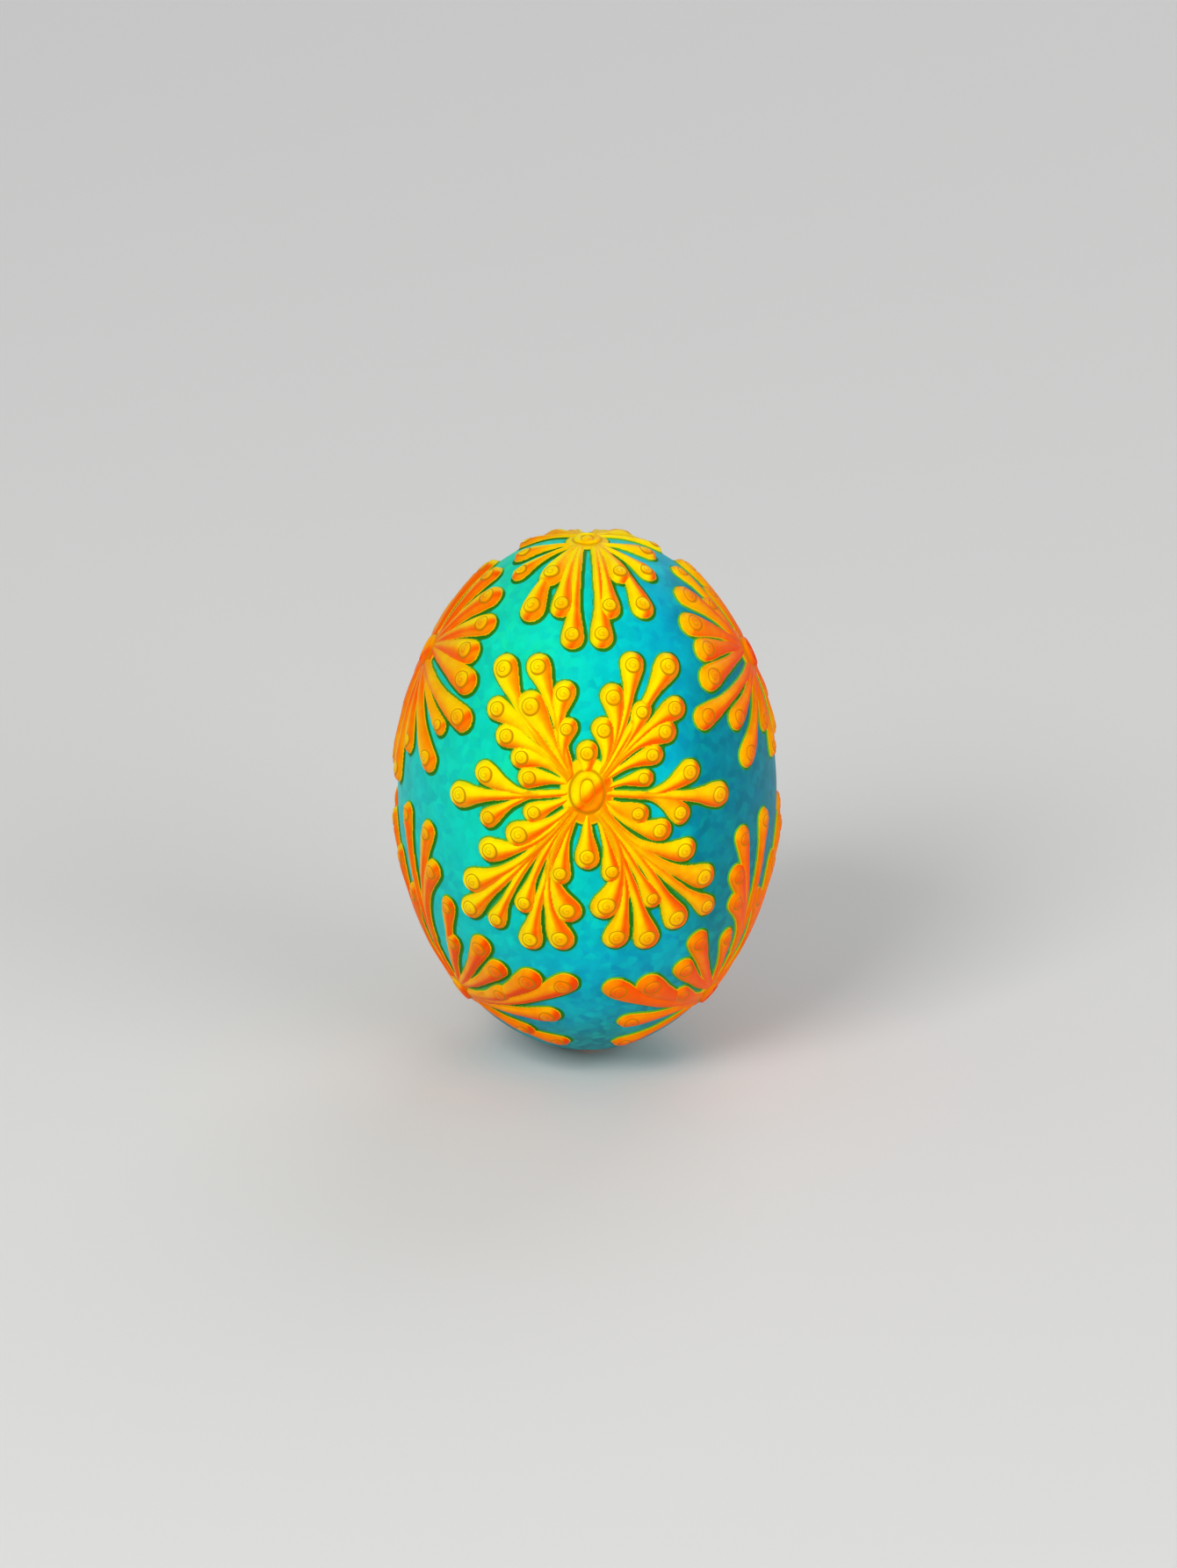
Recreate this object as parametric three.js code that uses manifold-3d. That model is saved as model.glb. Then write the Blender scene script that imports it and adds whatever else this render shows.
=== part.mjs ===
// A blown hen's egg decorated with drop-pulled wax: rosettes of teardrop strokes on a dyed shell.
// Millimetres, +Z up. The egg stands on its broad end, with the origin under it, on its long axis.
import * as THREE from 'three';
import { mergeVertices } from 'three/addons/utils/BufferGeometryUtils.js';
import Module from 'manifold-3d';

const wasm = await Module();
wasm.setup();

// ---- driving dimensions -------------------------------------------------------------------
const EGG = {
  girthRadius: 22,       // half the width at the widest ring
  upperHeight: 31,       // from the widest ring to the upper pole
  lowerHeight: 31.4,     // from the widest ring to the lower pole
  wall: 0.4,             // thickness of the shell
  ringsPerHalf: 7,       // facets from the girth to a pole
  facetsRound: 28,       // facets round the girth
};
const BLOW_HOLE = { radius: 1.0 };
const SEAL = { capRadius: 2.2, capHeight: 0.6, stemRadius: 0.6, stemLength: 1.2, clearance: 0.3, sides: 16 };
const WAX = {
  gap: 0.28,             // clear space between the shell and the underside of the wax
  thickness: 0.7,        // of a pulled stroke
  headShare: 0.9,        // solid head radius, as a share of the drop's own
  rootHalfWidth: 0.34,   // half the width of a tail where it reaches its root
  neckShare: 0.62,       // half the width where head becomes tail, as a share of the head radius
  straightBow: 0.35,     // a tail with less bow than this is cut straight
  longestFacet: 5.4,     // longest straight edge laid over the curve of the shell
  shortestEdge: 0.08,    // shorter edges are closed up
  hubRadius: 0.62,       // of the round pad where a spray's tails meet
  bossThickness: 0.9,    // of a rosette's centre
  bossSides: 12,
};
const LOCAL_RADIUS = 24; // radius of the ball that a rosette's bearings and reaches are laid out on

const girthLevel = SEAL.capHeight + EGG.lowerHeight;
const radians = THREE.MathUtils.degToRad;

// ---- materials ----------------------------------------------------------------------------
const dyedShell = { color: '#0ab8bf', roughness: 0.42, metalness: 0 };
const goldenWax = { color: '#f7b711', roughness: 0.38, metalness: 0 };
const orangeWax = { color: '#f0821a', roughness: 0.38, metalness: 0 };

// ---- the egg's surface --------------------------------------------------------------------
function heightOf(z) {
  return z >= 0 ? EGG.upperHeight : EGG.lowerHeight;
}

function ringRadius(z) {
  const share = z / heightOf(z);
  return EGG.girthRadius * Math.sqrt(Math.max(0, 1 - share * share));
}

// The outward direction of the shell at a point given from the egg's middle.
function outward(point) {
  const height = heightOf(point.z);
  const girthSquared = EGG.girthRadius ** 2;
  return new THREE.Vector3(point.x / girthSquared, point.y / girthSquared, point.z / height ** 2).normalize();
}

// Moves a point along its line from the egg's middle until it lies on the shell.
function ontoShell(point) {
  const height = heightOf(point.z);
  const size = Math.hypot(point.x / EGG.girthRadius, point.y / EGG.girthRadius, point.z / height);
  return point.clone().divideScalar(size);
}

// ---- rosettes -----------------------------------------------------------------------------
// A rosette's place is a turn in degrees from the front and a height from the girth. On it, a
// bearing is in degrees, clockwise from upward, and a reach is in millimetres along the shell.
function rosetteFrame({ turn, height }) {
  const angle = radians(turn);
  const radius = ringRadius(height);
  const centre = new THREE.Vector3(radius * Math.sin(angle), -radius * Math.cos(angle), height);
  const up = outward(centre);
  const east = new THREE.Vector3(Math.cos(angle), Math.sin(angle), 0);
  const north = new THREE.Vector3().crossVectors(up, east);
  return { centre, up, east, north };
}

function polar(bearing, reach) {
  const angle = radians(bearing);
  return new THREE.Vector2(reach * Math.sin(angle), reach * Math.cos(angle));
}

// The point of the shell under a flat position on the rosette, raised by a height.
function liftedPoint(frame, flat, height) {
  const reach = flat.length();
  const along = new THREE.Vector3();
  if (reach > 0) {
    along.addScaledVector(frame.east, flat.x / reach).addScaledVector(frame.north, flat.y / reach);
  }
  const angle = reach / LOCAL_RADIUS;
  const point = frame.centre.clone().addScaledVector(frame.up, LOCAL_RADIUS * (Math.cos(angle) - 1));
  point.addScaledVector(along, LOCAL_RADIUS * Math.sin(angle));
  const onShell = ontoShell(point);
  return onShell.addScaledVector(outward(onShell), height);
}

// ---- closed bodies ------------------------------------------------------------------------
function toSolid(geometry) {
  const bare = geometry.clone();
  bare.deleteAttribute('normal');
  bare.deleteAttribute('uv');
  const merged = mergeVertices(bare, 1e-5);
  const vertProperties = new Float32Array(merged.attributes.position.array);
  const triVerts = new Uint32Array(merged.index.array);
  return new wasm.Manifold(new wasm.Mesh({ numProp: 3, vertProperties, triVerts }));
}

function toGeometry(solid) {
  const mesh = solid.getMesh();
  const geometry = new THREE.BufferGeometry();
  geometry.setAttribute('position', new THREE.BufferAttribute(new Float32Array(mesh.vertProperties), 3));
  geometry.setIndex(new THREE.BufferAttribute(new Uint32Array(mesh.triVerts), 1));
  return geometry;
}

// A flat outline raised to a slab, before it is laid on the shell.
function slab(outline, thickness) {
  return toSolid(new THREE.ExtrudeGeometry(new THREE.Shape(outline), { depth: thickness, bevelEnabled: false }));
}

// The triangles that one triangle becomes when the middles of some of its edges are added.
function splitTriangle([one, two, three], middleOf) {
  const ring = [one, middleOf(one, two), two, middleOf(two, three), three, middleOf(three, one)];
  const added = ring.filter((corner, place) => place % 2 === 1 && corner !== undefined);
  if (added.length === 0) return [[one, two, three]];
  if (added.length === 3) {
    const [, low, , high, , back] = ring;
    return [[one, low, back], [low, two, high], [back, high, three], [low, high, back]];
  }
  const corners = ring.filter((corner) => corner !== undefined);
  const start = corners.indexOf(added[0]);
  const fan = corners.map((_, step) => corners[(start + step) % corners.length]);
  return fan.slice(1, -1).map((corner, step) => [fan[0], corner, fan[step + 2]]);
}

// Halves every triangle's longest edge while it is over a limit, so that a slab can follow a curve.
function splitLongEdges(geometry, limit) {
  const position = geometry.attributes.position;
  const points = Array.from({ length: position.count }, (_, corner) => (
    new THREE.Vector3().fromBufferAttribute(position, corner)
  ));
  const keyOf = (from, to) => `${Math.min(from, to)} ${Math.max(from, to)}`;
  const corners = Array.from(geometry.index.array);
  let triangles = [];
  for (let start = 0; start < corners.length; start += 3) {
    triangles.push(corners.slice(start, start + 3));
  }
  for (;;) {
    const middles = new Map();
    for (const triangle of triangles) {
      const edges = triangle.map((from, corner) => [from, triangle[(corner + 1) % 3]]);
      const lengths = edges.map(([from, to]) => points[from].distanceTo(points[to]));
      const longest = Math.max(...lengths);
      const [from, to] = edges[lengths.indexOf(longest)];
      if (longest > limit && !middles.has(keyOf(from, to))) {
        middles.set(keyOf(from, to), points.length);
        points.push(points[from].clone().lerp(points[to], 0.5));
      }
    }
    if (middles.size === 0) return { points, triangles };
    const middleOf = (from, to) => middles.get(keyOf(from, to));
    triangles = triangles.flatMap((triangle) => splitTriangle(triangle, middleOf));
  }
}

// Joins the ends of every edge that is shorter than a limit, and drops the slivers this leaves.
function joinShortEdges(geometry, limit) {
  const position = geometry.attributes.position;
  const pointAt = (corner) => new THREE.Vector3().fromBufferAttribute(position, corner);
  const stands = Array.from({ length: position.count }, (_, corner) => corner);
  const standIn = (corner) => (stands[corner] === corner ? corner : standIn(stands[corner]));
  const corners = Array.from(geometry.index.array);
  corners.forEach((from, step) => {
    const to = step % 3 === 2 ? corners[step - 2] : corners[step + 1];
    if (pointAt(standIn(from)).distanceTo(pointAt(standIn(to))) < limit) {
      stands[standIn(from)] = standIn(to);
    }
  });
  const index = [];
  for (let start = 0; start < corners.length; start += 3) {
    const triangle = corners.slice(start, start + 3).map(standIn);
    if (new Set(triangle).size === 3) index.push(...triangle);
  }
  const joined = new THREE.BufferGeometry();
  joined.setAttribute('position', position);
  joined.setIndex(index);
  return toGeometry(toSolid(joined));
}

// Lays a flat solid on the shell: its height becomes height above the shell's curve.
function laidOnShell(frame, solid) {
  const tidy = joinShortEdges(toGeometry(solid), WAX.shortestEdge);
  const { points, triangles } = splitLongEdges(tidy, WAX.longestFacet);
  const positions = points.flatMap((point) => {
    const flat = new THREE.Vector2(point.x, point.y);
    return liftedPoint(frame, flat, WAX.gap + point.z).toArray();
  });
  const geometry = new THREE.BufferGeometry();
  geometry.setAttribute('position', new THREE.BufferAttribute(new Float32Array(positions), 3));
  geometry.setIndex(triangles.flat());
  return geometry;
}

// The outline of one pulled drop: a round head, and a tail that narrows along its bow to the root.
function dropOutline([bearing, reach, radius, bow], root) {
  const head = polar(bearing, reach);
  const foot = polar(root[0], root[1]);
  const run = foot.clone().sub(head);
  const length = run.length();
  const clockwise = new THREE.Vector2(-run.y, run.x).divideScalar(length);
  const bend = head.clone().lerp(foot, 0.5).addScaledVector(clockwise, 2 * bow);
  const path = new THREE.QuadraticBezierCurve(head, bend, foot);
  const solidRadius = radius * WAX.headShare;
  const heading = path.getTangent(0).angle();
  const outline = [];
  for (let degrees = 75; degrees <= 285; degrees += 70) {
    const angle = heading + radians(degrees);
    outline.push(head.clone().add(new THREE.Vector2(Math.cos(angle), Math.sin(angle)).multiplyScalar(solidRadius)));
  }
  const neck = Math.min(0.5, 1.3 * radius / length);
  const neckHalfWidth = WAX.neckShare * radius;
  const stations = [[neck, neckHalfWidth], [1, WAX.rootHalfWidth]];
  if (Math.abs(bow) > WAX.straightBow) {
    stations.splice(1, 0, [(1 + neck) / 2, (neckHalfWidth + WAX.rootHalfWidth) / 2]);
  }
  const sideOf = (sign) => stations.map(([share, halfWidth]) => {
    const along = path.getTangent(share);
    const aside = new THREE.Vector2(-along.y, along.x).multiplyScalar(sign * halfWidth);
    return path.getPoint(share).add(aside);
  });
  return [...outline, ...sideOf(-1), ...sideOf(1).reverse()];
}

// A spray of drops pulled to one root, or to a fork that one stem joins to the root.
function sprayGeometry(frame, { root, fork, drops }) {
  const meeting = fork ?? root;
  const solids = drops.map((drop) => slab(dropOutline(drop, meeting), WAX.thickness));
  if (fork) {
    solids.push(slab(dropOutline([...fork, 2 * WAX.rootHalfWidth, 0], root), WAX.thickness));
  }
  if (drops.length > 1) {
    solids.push(slab(oval(polar(...meeting), WAX.hubRadius, WAX.hubRadius), WAX.thickness));
  }
  return laidOnShell(frame, solids.reduce((whole, solid) => whole.add(solid)));
}

function oval(centre, halfWidth, halfHeight) {
  const outline = [];
  for (let side = 0; side < WAX.bossSides; side += 1) {
    const angle = (side + 0.5) * 2 * Math.PI / WAX.bossSides;
    outline.push(new THREE.Vector2(halfWidth * Math.cos(angle), halfHeight * Math.sin(angle)).add(centre));
  }
  return outline;
}

// The oval centre of a rosette.
function bossGeometry(frame, [halfWidth, halfHeight]) {
  return laidOnShell(frame, slab(oval(new THREE.Vector2(), halfWidth, halfHeight), WAX.bossThickness));
}

// ---- the design ---------------------------------------------------------------------------
// A drop is [bearing, reach, head radius, bow of its tail towards the clockwise side].
const mirrored = (drops) => drops.map(([bearing, reach, radius, bow]) => [-bearing, reach, radius, -bow]);
const turned = (drops, by) => drops.map(([bearing, ...rest]) => [bearing + by, ...rest]);

const greatRosette = {
  boss: [1.8, 2.3],
  sprays: {
    crown_drop: { root: [0, 2.8], drops: [[0, 4.6, 1.2, 0]] },
    lower_drop: { root: [180, 3.1], drops: [[180, 7.9, 1.35, 0]] },
    upper_left_plume: {
      root: [302, 3.3],
      drops: [
        [325, 17, 1.55, -0.9], [338, 15, 1.4, 0.2], [347, 11.3, 1.3, -1.1], [343, 7.5, 1.1, -0.8],
        [326, 11.7, 1.6, 0.2], [311, 14.2, 1.35, 0.8], [303, 11.4, 1.3, 0.8], [296, 8.6, 1.2, 0.7],
        [282, 7, 1.2, 0.2],
      ],
    },
    upper_right_plume: {
      root: [50, 3.3],
      drops: [
        [20, 15, 1.35, 0.8], [34, 17, 1.5, 0], [15, 11, 1.35, 1], [14, 7.3, 1.25, 0.6],
        [35, 11, 1.1, 0.4], [48, 14, 1.35, -0.6], [54, 11.4, 1.3, -0.8], [62, 8.7, 1.15, -0.3],
      ],
    },
    right_upper_drop: { root: [80, 3.3], drops: [[78, 6.8, 1, -0.2]] },
    right_arm: {
      root: [96, 3.3],
      fork: [95, 8.5],
      drops: [[95, 16.7, 1.5, 0], [81, 12.5, 1.35, 0.2], [106, 11.5, 1.25, -0.2]],
    },
    right_lower_pair: { root: [120, 3.5], drops: [[115, 6.6, 1.15, 0], [120, 9.9, 1.3, 0.8]] },
    left_arm: {
      root: [267, 3.3],
      fork: [264, 8],
      drops: [[265, 16, 1.5, 0], [278, 12.4, 1.4, 0], [252, 12.4, 1.15, -0.3]],
    },
    left_lower_drop: { root: [249, 3.4], drops: [[247, 6.8, 1.15, 0]] },
    lower_left_plume: {
      root: [216, 4.2],
      drops: [
        [236, 9.7, 1.5, -0.4], [236, 14, 1.45, -1.4], [228, 18.4, 1.5, -1.2], [221, 21.2, 1.4, -0.2],
        [212, 19.6, 1.15, 1], [207, 15.6, 1.2, 0.8], [199, 19.3, 1.4, 0.8], [189, 18, 1.5, 2.4],
        [188, 14.5, 1.45, 2.4], [197, 10.4, 1.2, 0.3],
      ],
    },
    lower_right_plume: {
      root: [148, 4.2],
      drops: [
        [124, 14, 1.4, 1.6], [130, 18.4, 1.5, 1.4], [138, 21.4, 1.25, 0.4], [148, 19.3, 1.5, -0.7],
        [151, 15.3, 1.1, -0.2], [160, 19.3, 1.5, -0.7], [170, 17.9, 1.45, -2], [172, 13.9, 1.6, -2.2],
        [164, 10.1, 1.15, -0.2],
      ],
    },
  },
};

const poleLeftDrops = [
  [241, 9.1, 1.1, 0], [212, 8, 1.4, 0.2], [212, 12.9, 1.5, 0.4], [195, 12, 1.3, 0.2], [187, 15.8, 1.3, 0],
];
const poleRightDrops = [
  [173, 15.7, 1.3, 0], [167, 12.2, 1.25, -0.2], [147, 12.7, 1.35, -0.3], [150, 7.8, 1.25, -0.2], [125, 8.7, 1.15, 0],
];
const poleRosette = {
  boss: [1.5, 1.5],
  sprays: {
    front_left_plume: { root: [214, 2.6], drops: [...poleLeftDrops, [266, 7.5, 1.2, 0]] },
    front_right_plume: { root: [146, 2.6], drops: [...poleRightDrops, [94, 7, 1.2, 0]] },
    back_right_plume: { root: [34, 2.6], drops: turned(poleLeftDrops, 180) },
    back_left_plume: { root: [326, 2.6], drops: turned(poleRightDrops, 180) },
  },
};

const fanUpperDrops = [
  [2, 11.5, 1.4, 0], [24, 11.6, 1.5, 0], [43, 11.6, 1.4, 0], [61, 10.2, 1.5, 0], [79, 11.6, 1.55, 0],
];
const fanLowerDrops = [
  [97, 13.8, 1.5, 0.3], [113, 11.8, 1, 0.2], [131, 14.1, 1.4, 0.3], [153, 11, 1.2, 0], [171, 14.6, 1.4, 0],
];
const leftFanRosette = {
  boss: [1.4, 1.9],
  sprays: {
    front_upper_plume: { root: [44, 2.9], drops: fanUpperDrops },
    front_lower_plume: { root: [132, 2.9], drops: fanLowerDrops },
    back_upper_plume: { root: [-44, 2.9], drops: mirrored(fanUpperDrops.slice(1)) },
    back_lower_plume: { root: [-132, 2.9], drops: mirrored(fanLowerDrops) },
  },
};

const rightUpperDrops = [
  [358, 12.5, 1.05, 0], [337, 12, 1.45, 0], [346, 8, 1, 0], [318, 12.1, 1.5, 0], [302, 11.1, 1.4, 0],
  [285, 11.9, 1.5, 0],
];
const rightLowerDrops = [
  [270, 15.4, 1.4, -0.3], [253, 11.2, 1.3, -0.2], [233, 13.6, 1.4, -0.2], [212, 8.4, 1.1, 0], [197, 11.4, 1.1, 0],
];
const rightFanRosette = {
  boss: [1.4, 1.9],
  sprays: {
    front_upper_plume: { root: [316, 2.9], drops: rightUpperDrops },
    front_lower_plume: { root: [228, 2.9], drops: rightLowerDrops },
    back_upper_plume: { root: [44, 2.9], drops: mirrored(rightUpperDrops.slice(1)) },
    back_lower_plume: { root: [132, 2.9], drops: mirrored(rightLowerDrops) },
  },
};

const footUpperDrops = [
  [22, 15.4, 1.1, 0.2], [28, 10.2, 1.05, 0], [46, 13.3, 1.35, 0.4], [62, 12, 1.3, 0.3],
];
const footLowerDrops = [
  [80, 9.3, 1.2, 0.2], [76, 14.8, 1.5, 0.6], [86, 18.3, 1.5, 0.4], [104, 13.6, 1.3, -0.4], [126, 9.3, 1.15, -0.2],
  [133, 13.4, 1.15, -0.3],
];
const tallSprigDrops = [[356, 23.4, 1.15, 0], [8, 23, 1.2, 0.4], [12, 18.8, 1.25, 0.5]];
const broadSprigDrops = [
  [0, 24, 1.4, 0], [9, 21.5, 1.3, 0.3], [-9, 21.5, 1.3, -0.3], [15, 17.4, 1.3, 0.3], [-15, 17.4, 1.3, -0.3],
  [25, 13.4, 1.2, 0.2], [-25, 13.4, 1.2, -0.2],
];
const leftFootRosette = {
  boss: [1.4, 1.6],
  sprays: {
    tall_sprig: { root: [0, 2.9], fork: [0, 13], drops: tallSprigDrops },
    front_upper_plume: { root: [38, 2.9], drops: footUpperDrops },
    front_lower_plume: { root: [92, 2.9], drops: footLowerDrops },
    back_sprig: { root: [-36, 2.9], fork: [-36, 8], drops: turned(broadSprigDrops, -36) },
    back_lower_plume: { root: [-92, 2.9], drops: mirrored(footLowerDrops) },
  },
};
const rightFootRosette = {
  boss: [1.4, 1.6],
  sprays: {
    tall_sprig: { root: [0, 2.9], fork: [0, 11], drops: [...mirrored(tallSprigDrops), [347, 15.2, 1.2, -0.3]] },
    front_upper_plume: {
      root: [326, 2.9],
      drops: [[342, 10.4, 1.05, 0], [321, 13.4, 1.35, -0.4], [305, 11, 1.3, -0.3]],
    },
    front_lower_plume: {
      root: [268, 2.9],
      drops: [
        [285, 7.2, 1.15, -0.2], [285, 13.2, 1.5, -0.4], [275, 16.6, 1.5, -0.4], [252, 12, 1.25, 0.4],
        [224, 11.8, 1.15, 0.2],
      ],
    },
    back_sprig: { root: [36, 2.9], fork: [36, 8], drops: turned(broadSprigDrops, 36) },
    back_lower_plume: { root: [92, 2.9], drops: footLowerDrops },
  },
};
const shortUpperDrops = footUpperDrops.slice(1);
const shortLowerDrops = footLowerDrops.filter(([, reach]) => reach < 18);
const backFootRosette = {
  boss: [1.4, 1.6],
  sprays: {
    top_drop: { root: [0, 2.9], drops: [[0, 8.5, 1.3, 0]] },
    right_upper_plume: { root: [42, 2.9], drops: shortUpperDrops },
    right_lower_plume: { root: [92, 2.9], drops: shortLowerDrops },
    left_upper_plume: { root: [-42, 2.9], drops: mirrored(shortUpperDrops) },
    left_lower_plume: { root: [-92, 2.9], drops: mirrored(shortLowerDrops) },
  },
};

const rosettes = {
  top: { ...poleRosette, turn: 0, height: EGG.upperHeight, wax: goldenWax },
  front: { ...greatRosette, turn: 0, height: 8.5, wax: goldenWax },
  back: { ...greatRosette, turn: 180, height: 8.5, wax: goldenWax },
  left: { ...leftFanRosette, turn: -87, height: 17.8, wax: orangeWax },
  right: { ...rightFanRosette, turn: 89, height: 17.3, wax: orangeWax },
  lower_left: { ...leftFootRosette, turn: -64, height: -21.7, wax: orangeWax },
  lower_right: { ...rightFootRosette, turn: 62, height: -22, wax: orangeWax },
  lower_back: { ...backFootRosette, turn: 180, height: -22, wax: orangeWax },
};

// ---- shell and seal -----------------------------------------------------------------------
// A body turned about the long axis from half its outline, given as radius and height.
function turnedBody(outline, sides) {
  return toSolid(new THREE.LatheGeometry(outline, sides).rotateX(Math.PI / 2));
}

// Half an outline of the shell: the outside from the blow hole to the top, then the inside back.
function shellGeometry() {
  const outline = [];
  const trace = (girth, lower, upper) => {
    const start = -Math.acos(BLOW_HOLE.radius / girth);
    const points = [];
    for (let ring = 0; ring <= EGG.ringsPerHalf; ring += 1) {
      const angle = start * (1 - ring / EGG.ringsPerHalf);
      points.push(new THREE.Vector2(girth * Math.cos(angle), lower * Math.sin(angle)));
    }
    for (let ring = 1; ring <= EGG.ringsPerHalf; ring += 1) {
      const angle = Math.PI / 2 * ring / EGG.ringsPerHalf;
      const radius = ring === EGG.ringsPerHalf ? 0 : girth * Math.cos(angle);
      points.push(new THREE.Vector2(radius, upper * Math.sin(angle)));
    }
    return points;
  };
  outline.push(...trace(EGG.girthRadius, EGG.lowerHeight, EGG.upperHeight));
  const inside = trace(EGG.girthRadius - EGG.wall, EGG.lowerHeight - EGG.wall, EGG.upperHeight - EGG.wall);
  outline.push(...inside.reverse());
  outline.push(outline[0].clone());
  return toGeometry(turnedBody(outline, EGG.facetsRound));
}

// A wax button over the blow hole, with a short stem that keys it in the hole.
function sealGeometry() {
  const capTop = SEAL.capHeight - SEAL.clearance;
  const outline = [
    [0, 0],
    [SEAL.capRadius * 0.8, 0],
    [SEAL.capRadius, capTop * 0.6],
    [SEAL.capRadius * 0.9, capTop],
    [SEAL.stemRadius, capTop],
    [SEAL.stemRadius, capTop + SEAL.stemLength],
    [0, capTop + SEAL.stemLength],
  ].map(([radius, height]) => new THREE.Vector2(radius, height));
  return toGeometry(turnedBody(outline, SEAL.sides));
}

// ---- assembly -----------------------------------------------------------------------------
const egg = new THREE.Group();

function addPiece(parent, name, geometry, material) {
  const piece = new THREE.Mesh(geometry, new THREE.MeshStandardMaterial(material));
  piece.name = name;
  parent.add(piece);
  return piece;
}

const shellGroup = new THREE.Group();
shellGroup.position.z = girthLevel;
addPiece(shellGroup, 'eggshell', shellGeometry(), dyedShell);
for (const [place, rosette] of Object.entries(rosettes)) {
  const frame = rosetteFrame(rosette);
  addPiece(shellGroup, `${place}_boss`, bossGeometry(frame, rosette.boss), rosette.wax);
  for (const [spray, design] of Object.entries(rosette.sprays)) {
    addPiece(shellGroup, `${place}_${spray}`, sprayGeometry(frame, design), rosette.wax);
  }
}
egg.add(shellGroup);
addPiece(egg, 'blow_hole_seal', sealGeometry(), orangeWax);

export default egg;
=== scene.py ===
import math

import bmesh
import bpy
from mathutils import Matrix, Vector


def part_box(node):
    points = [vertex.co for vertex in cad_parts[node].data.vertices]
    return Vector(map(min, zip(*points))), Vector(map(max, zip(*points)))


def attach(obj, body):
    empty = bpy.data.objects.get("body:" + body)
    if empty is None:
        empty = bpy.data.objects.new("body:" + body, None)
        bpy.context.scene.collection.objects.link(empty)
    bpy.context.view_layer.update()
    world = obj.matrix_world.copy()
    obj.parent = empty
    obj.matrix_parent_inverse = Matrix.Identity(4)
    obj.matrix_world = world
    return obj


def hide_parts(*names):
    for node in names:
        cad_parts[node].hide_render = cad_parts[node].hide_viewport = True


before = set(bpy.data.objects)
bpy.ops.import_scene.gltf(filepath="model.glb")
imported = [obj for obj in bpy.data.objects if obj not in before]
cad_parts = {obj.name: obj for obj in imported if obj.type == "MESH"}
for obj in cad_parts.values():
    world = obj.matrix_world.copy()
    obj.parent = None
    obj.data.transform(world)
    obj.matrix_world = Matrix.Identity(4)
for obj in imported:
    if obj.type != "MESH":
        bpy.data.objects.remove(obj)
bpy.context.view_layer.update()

# A drop-pull pysanka: a dyed, blown egg with rosettes of wax strokes. Pieces are in metres, and the
# sizes of the design are in millimetres.
MM = 0.001

# ---- the egg ----
SHELL_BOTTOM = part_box("eggshell")[0][2] / MM
GIRTH_RADIUS = 22.0
UPPER_HEIGHT = 31.0
LOWER_HEIGHT = 31.4
WALL = 0.4
BLOW_HOLE_RADIUS = 1.0
GIRTH_LEVEL = 32.0      # height of the widest ring above the origin
BALL_RADIUS = 24.0      # of the ball that bearings and reaches are laid out on

STEM_SHARE = 0.27       # of the seal's width: its stem in the blow hole
CAP_LAP = 0.02          # how far the seal's cap rises round the foot of the shell

# ---- the wax ----
BOSS_APRON = 1.95       # the pool of wax round a boss, as a multiple of its half width
# The boss's height above its edge at shares of its half width: dome, groove, ring, moat and apron.
BOSS_PROFILE = [
    (0, 0.98), (0.3, 0.93), (0.5, 0.72), (0.62, 0.58), (0.68, 0.62), (0.78, 0.96), (0.88, 0.98),
    (1.0, 0.66), (1.1, 0.42), (1.22, 0.46), (1.45, 0.42), (1.7, 0.25), (1.95, 0),
]
DOME_NARROWING = 0.45   # how much slimmer the dome of a boss is than the ring round it
MESH_STEP = 0.12
STATIONS = 14           # points along the guide of one stroke
PATCH_MARGIN = 0.75     # clear shell kept round a spray's strokes
FOOT_SPREAD = 0.45      # how far round the boss a stroke's foot follows its head
FOOT_CLEARANCE = 0.6    # between the ring of a boss and the feet of the strokes round it
RING_SHARE = 0.62       # of a head's radius: the ring pressed into it
RING_OFFSET = 0.22      # of a head's radius: how far its ring sits back towards the tail
CREST_HEIGHT = 0.62     # of a stroke 1 mm in half width
FOOT_HEIGHT = 0.07      # of the thin edge round the wax, painted as its shadow
CUT_LEVEL = -0.12       # wax that would lie lower than this against the shell is cut off
FLOOR_DEPTH = 0.22      # how far the underside of the wax is sunk into the shell
NO_HEAD = (5.0, 5.0, 1.0)   # the head_at of wax that has no ring


def height_of(z):
    return UPPER_HEIGHT if z >= 0 else LOWER_HEIGHT


def onto_shell(point):
    """Moves a point along its line from the egg's middle until it lies on the shell."""
    height = height_of(point.z)
    return point / Vector((point.x / GIRTH_RADIUS, point.y / GIRTH_RADIUS, point.z / height)).length


def outward(point):
    height = height_of(point.z)
    slope = Vector((point.x / GIRTH_RADIUS ** 2, point.y / GIRTH_RADIUS ** 2, point.z / height ** 2))
    return slope.normalized()


class Rosette:
    """A rosette's place: its centre on the shell and the directions up off it, east and north."""

    def __init__(self, turn, height):
        angle = math.radians(turn)
        radius = GIRTH_RADIUS * math.sqrt(max(0.0, 1 - (height / height_of(height)) ** 2))
        self.centre = Vector((radius * math.sin(angle), -radius * math.cos(angle), height))
        self.up = outward(self.centre)
        self.east = Vector((math.cos(angle), math.sin(angle), 0))
        self.north = self.up.cross(self.east)

    def on_shell(self, flat):
        """The shell point under a flat position on the rosette."""
        reach = flat.length
        if reach == 0:
            return self.centre.copy()
        along = (self.east * flat.x + self.north * flat.y) / reach
        angle = reach / BALL_RADIUS
        point = self.centre + self.up * BALL_RADIUS * (math.cos(angle) - 1)
        return onto_shell(point + along * BALL_RADIUS * math.sin(angle))


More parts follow.
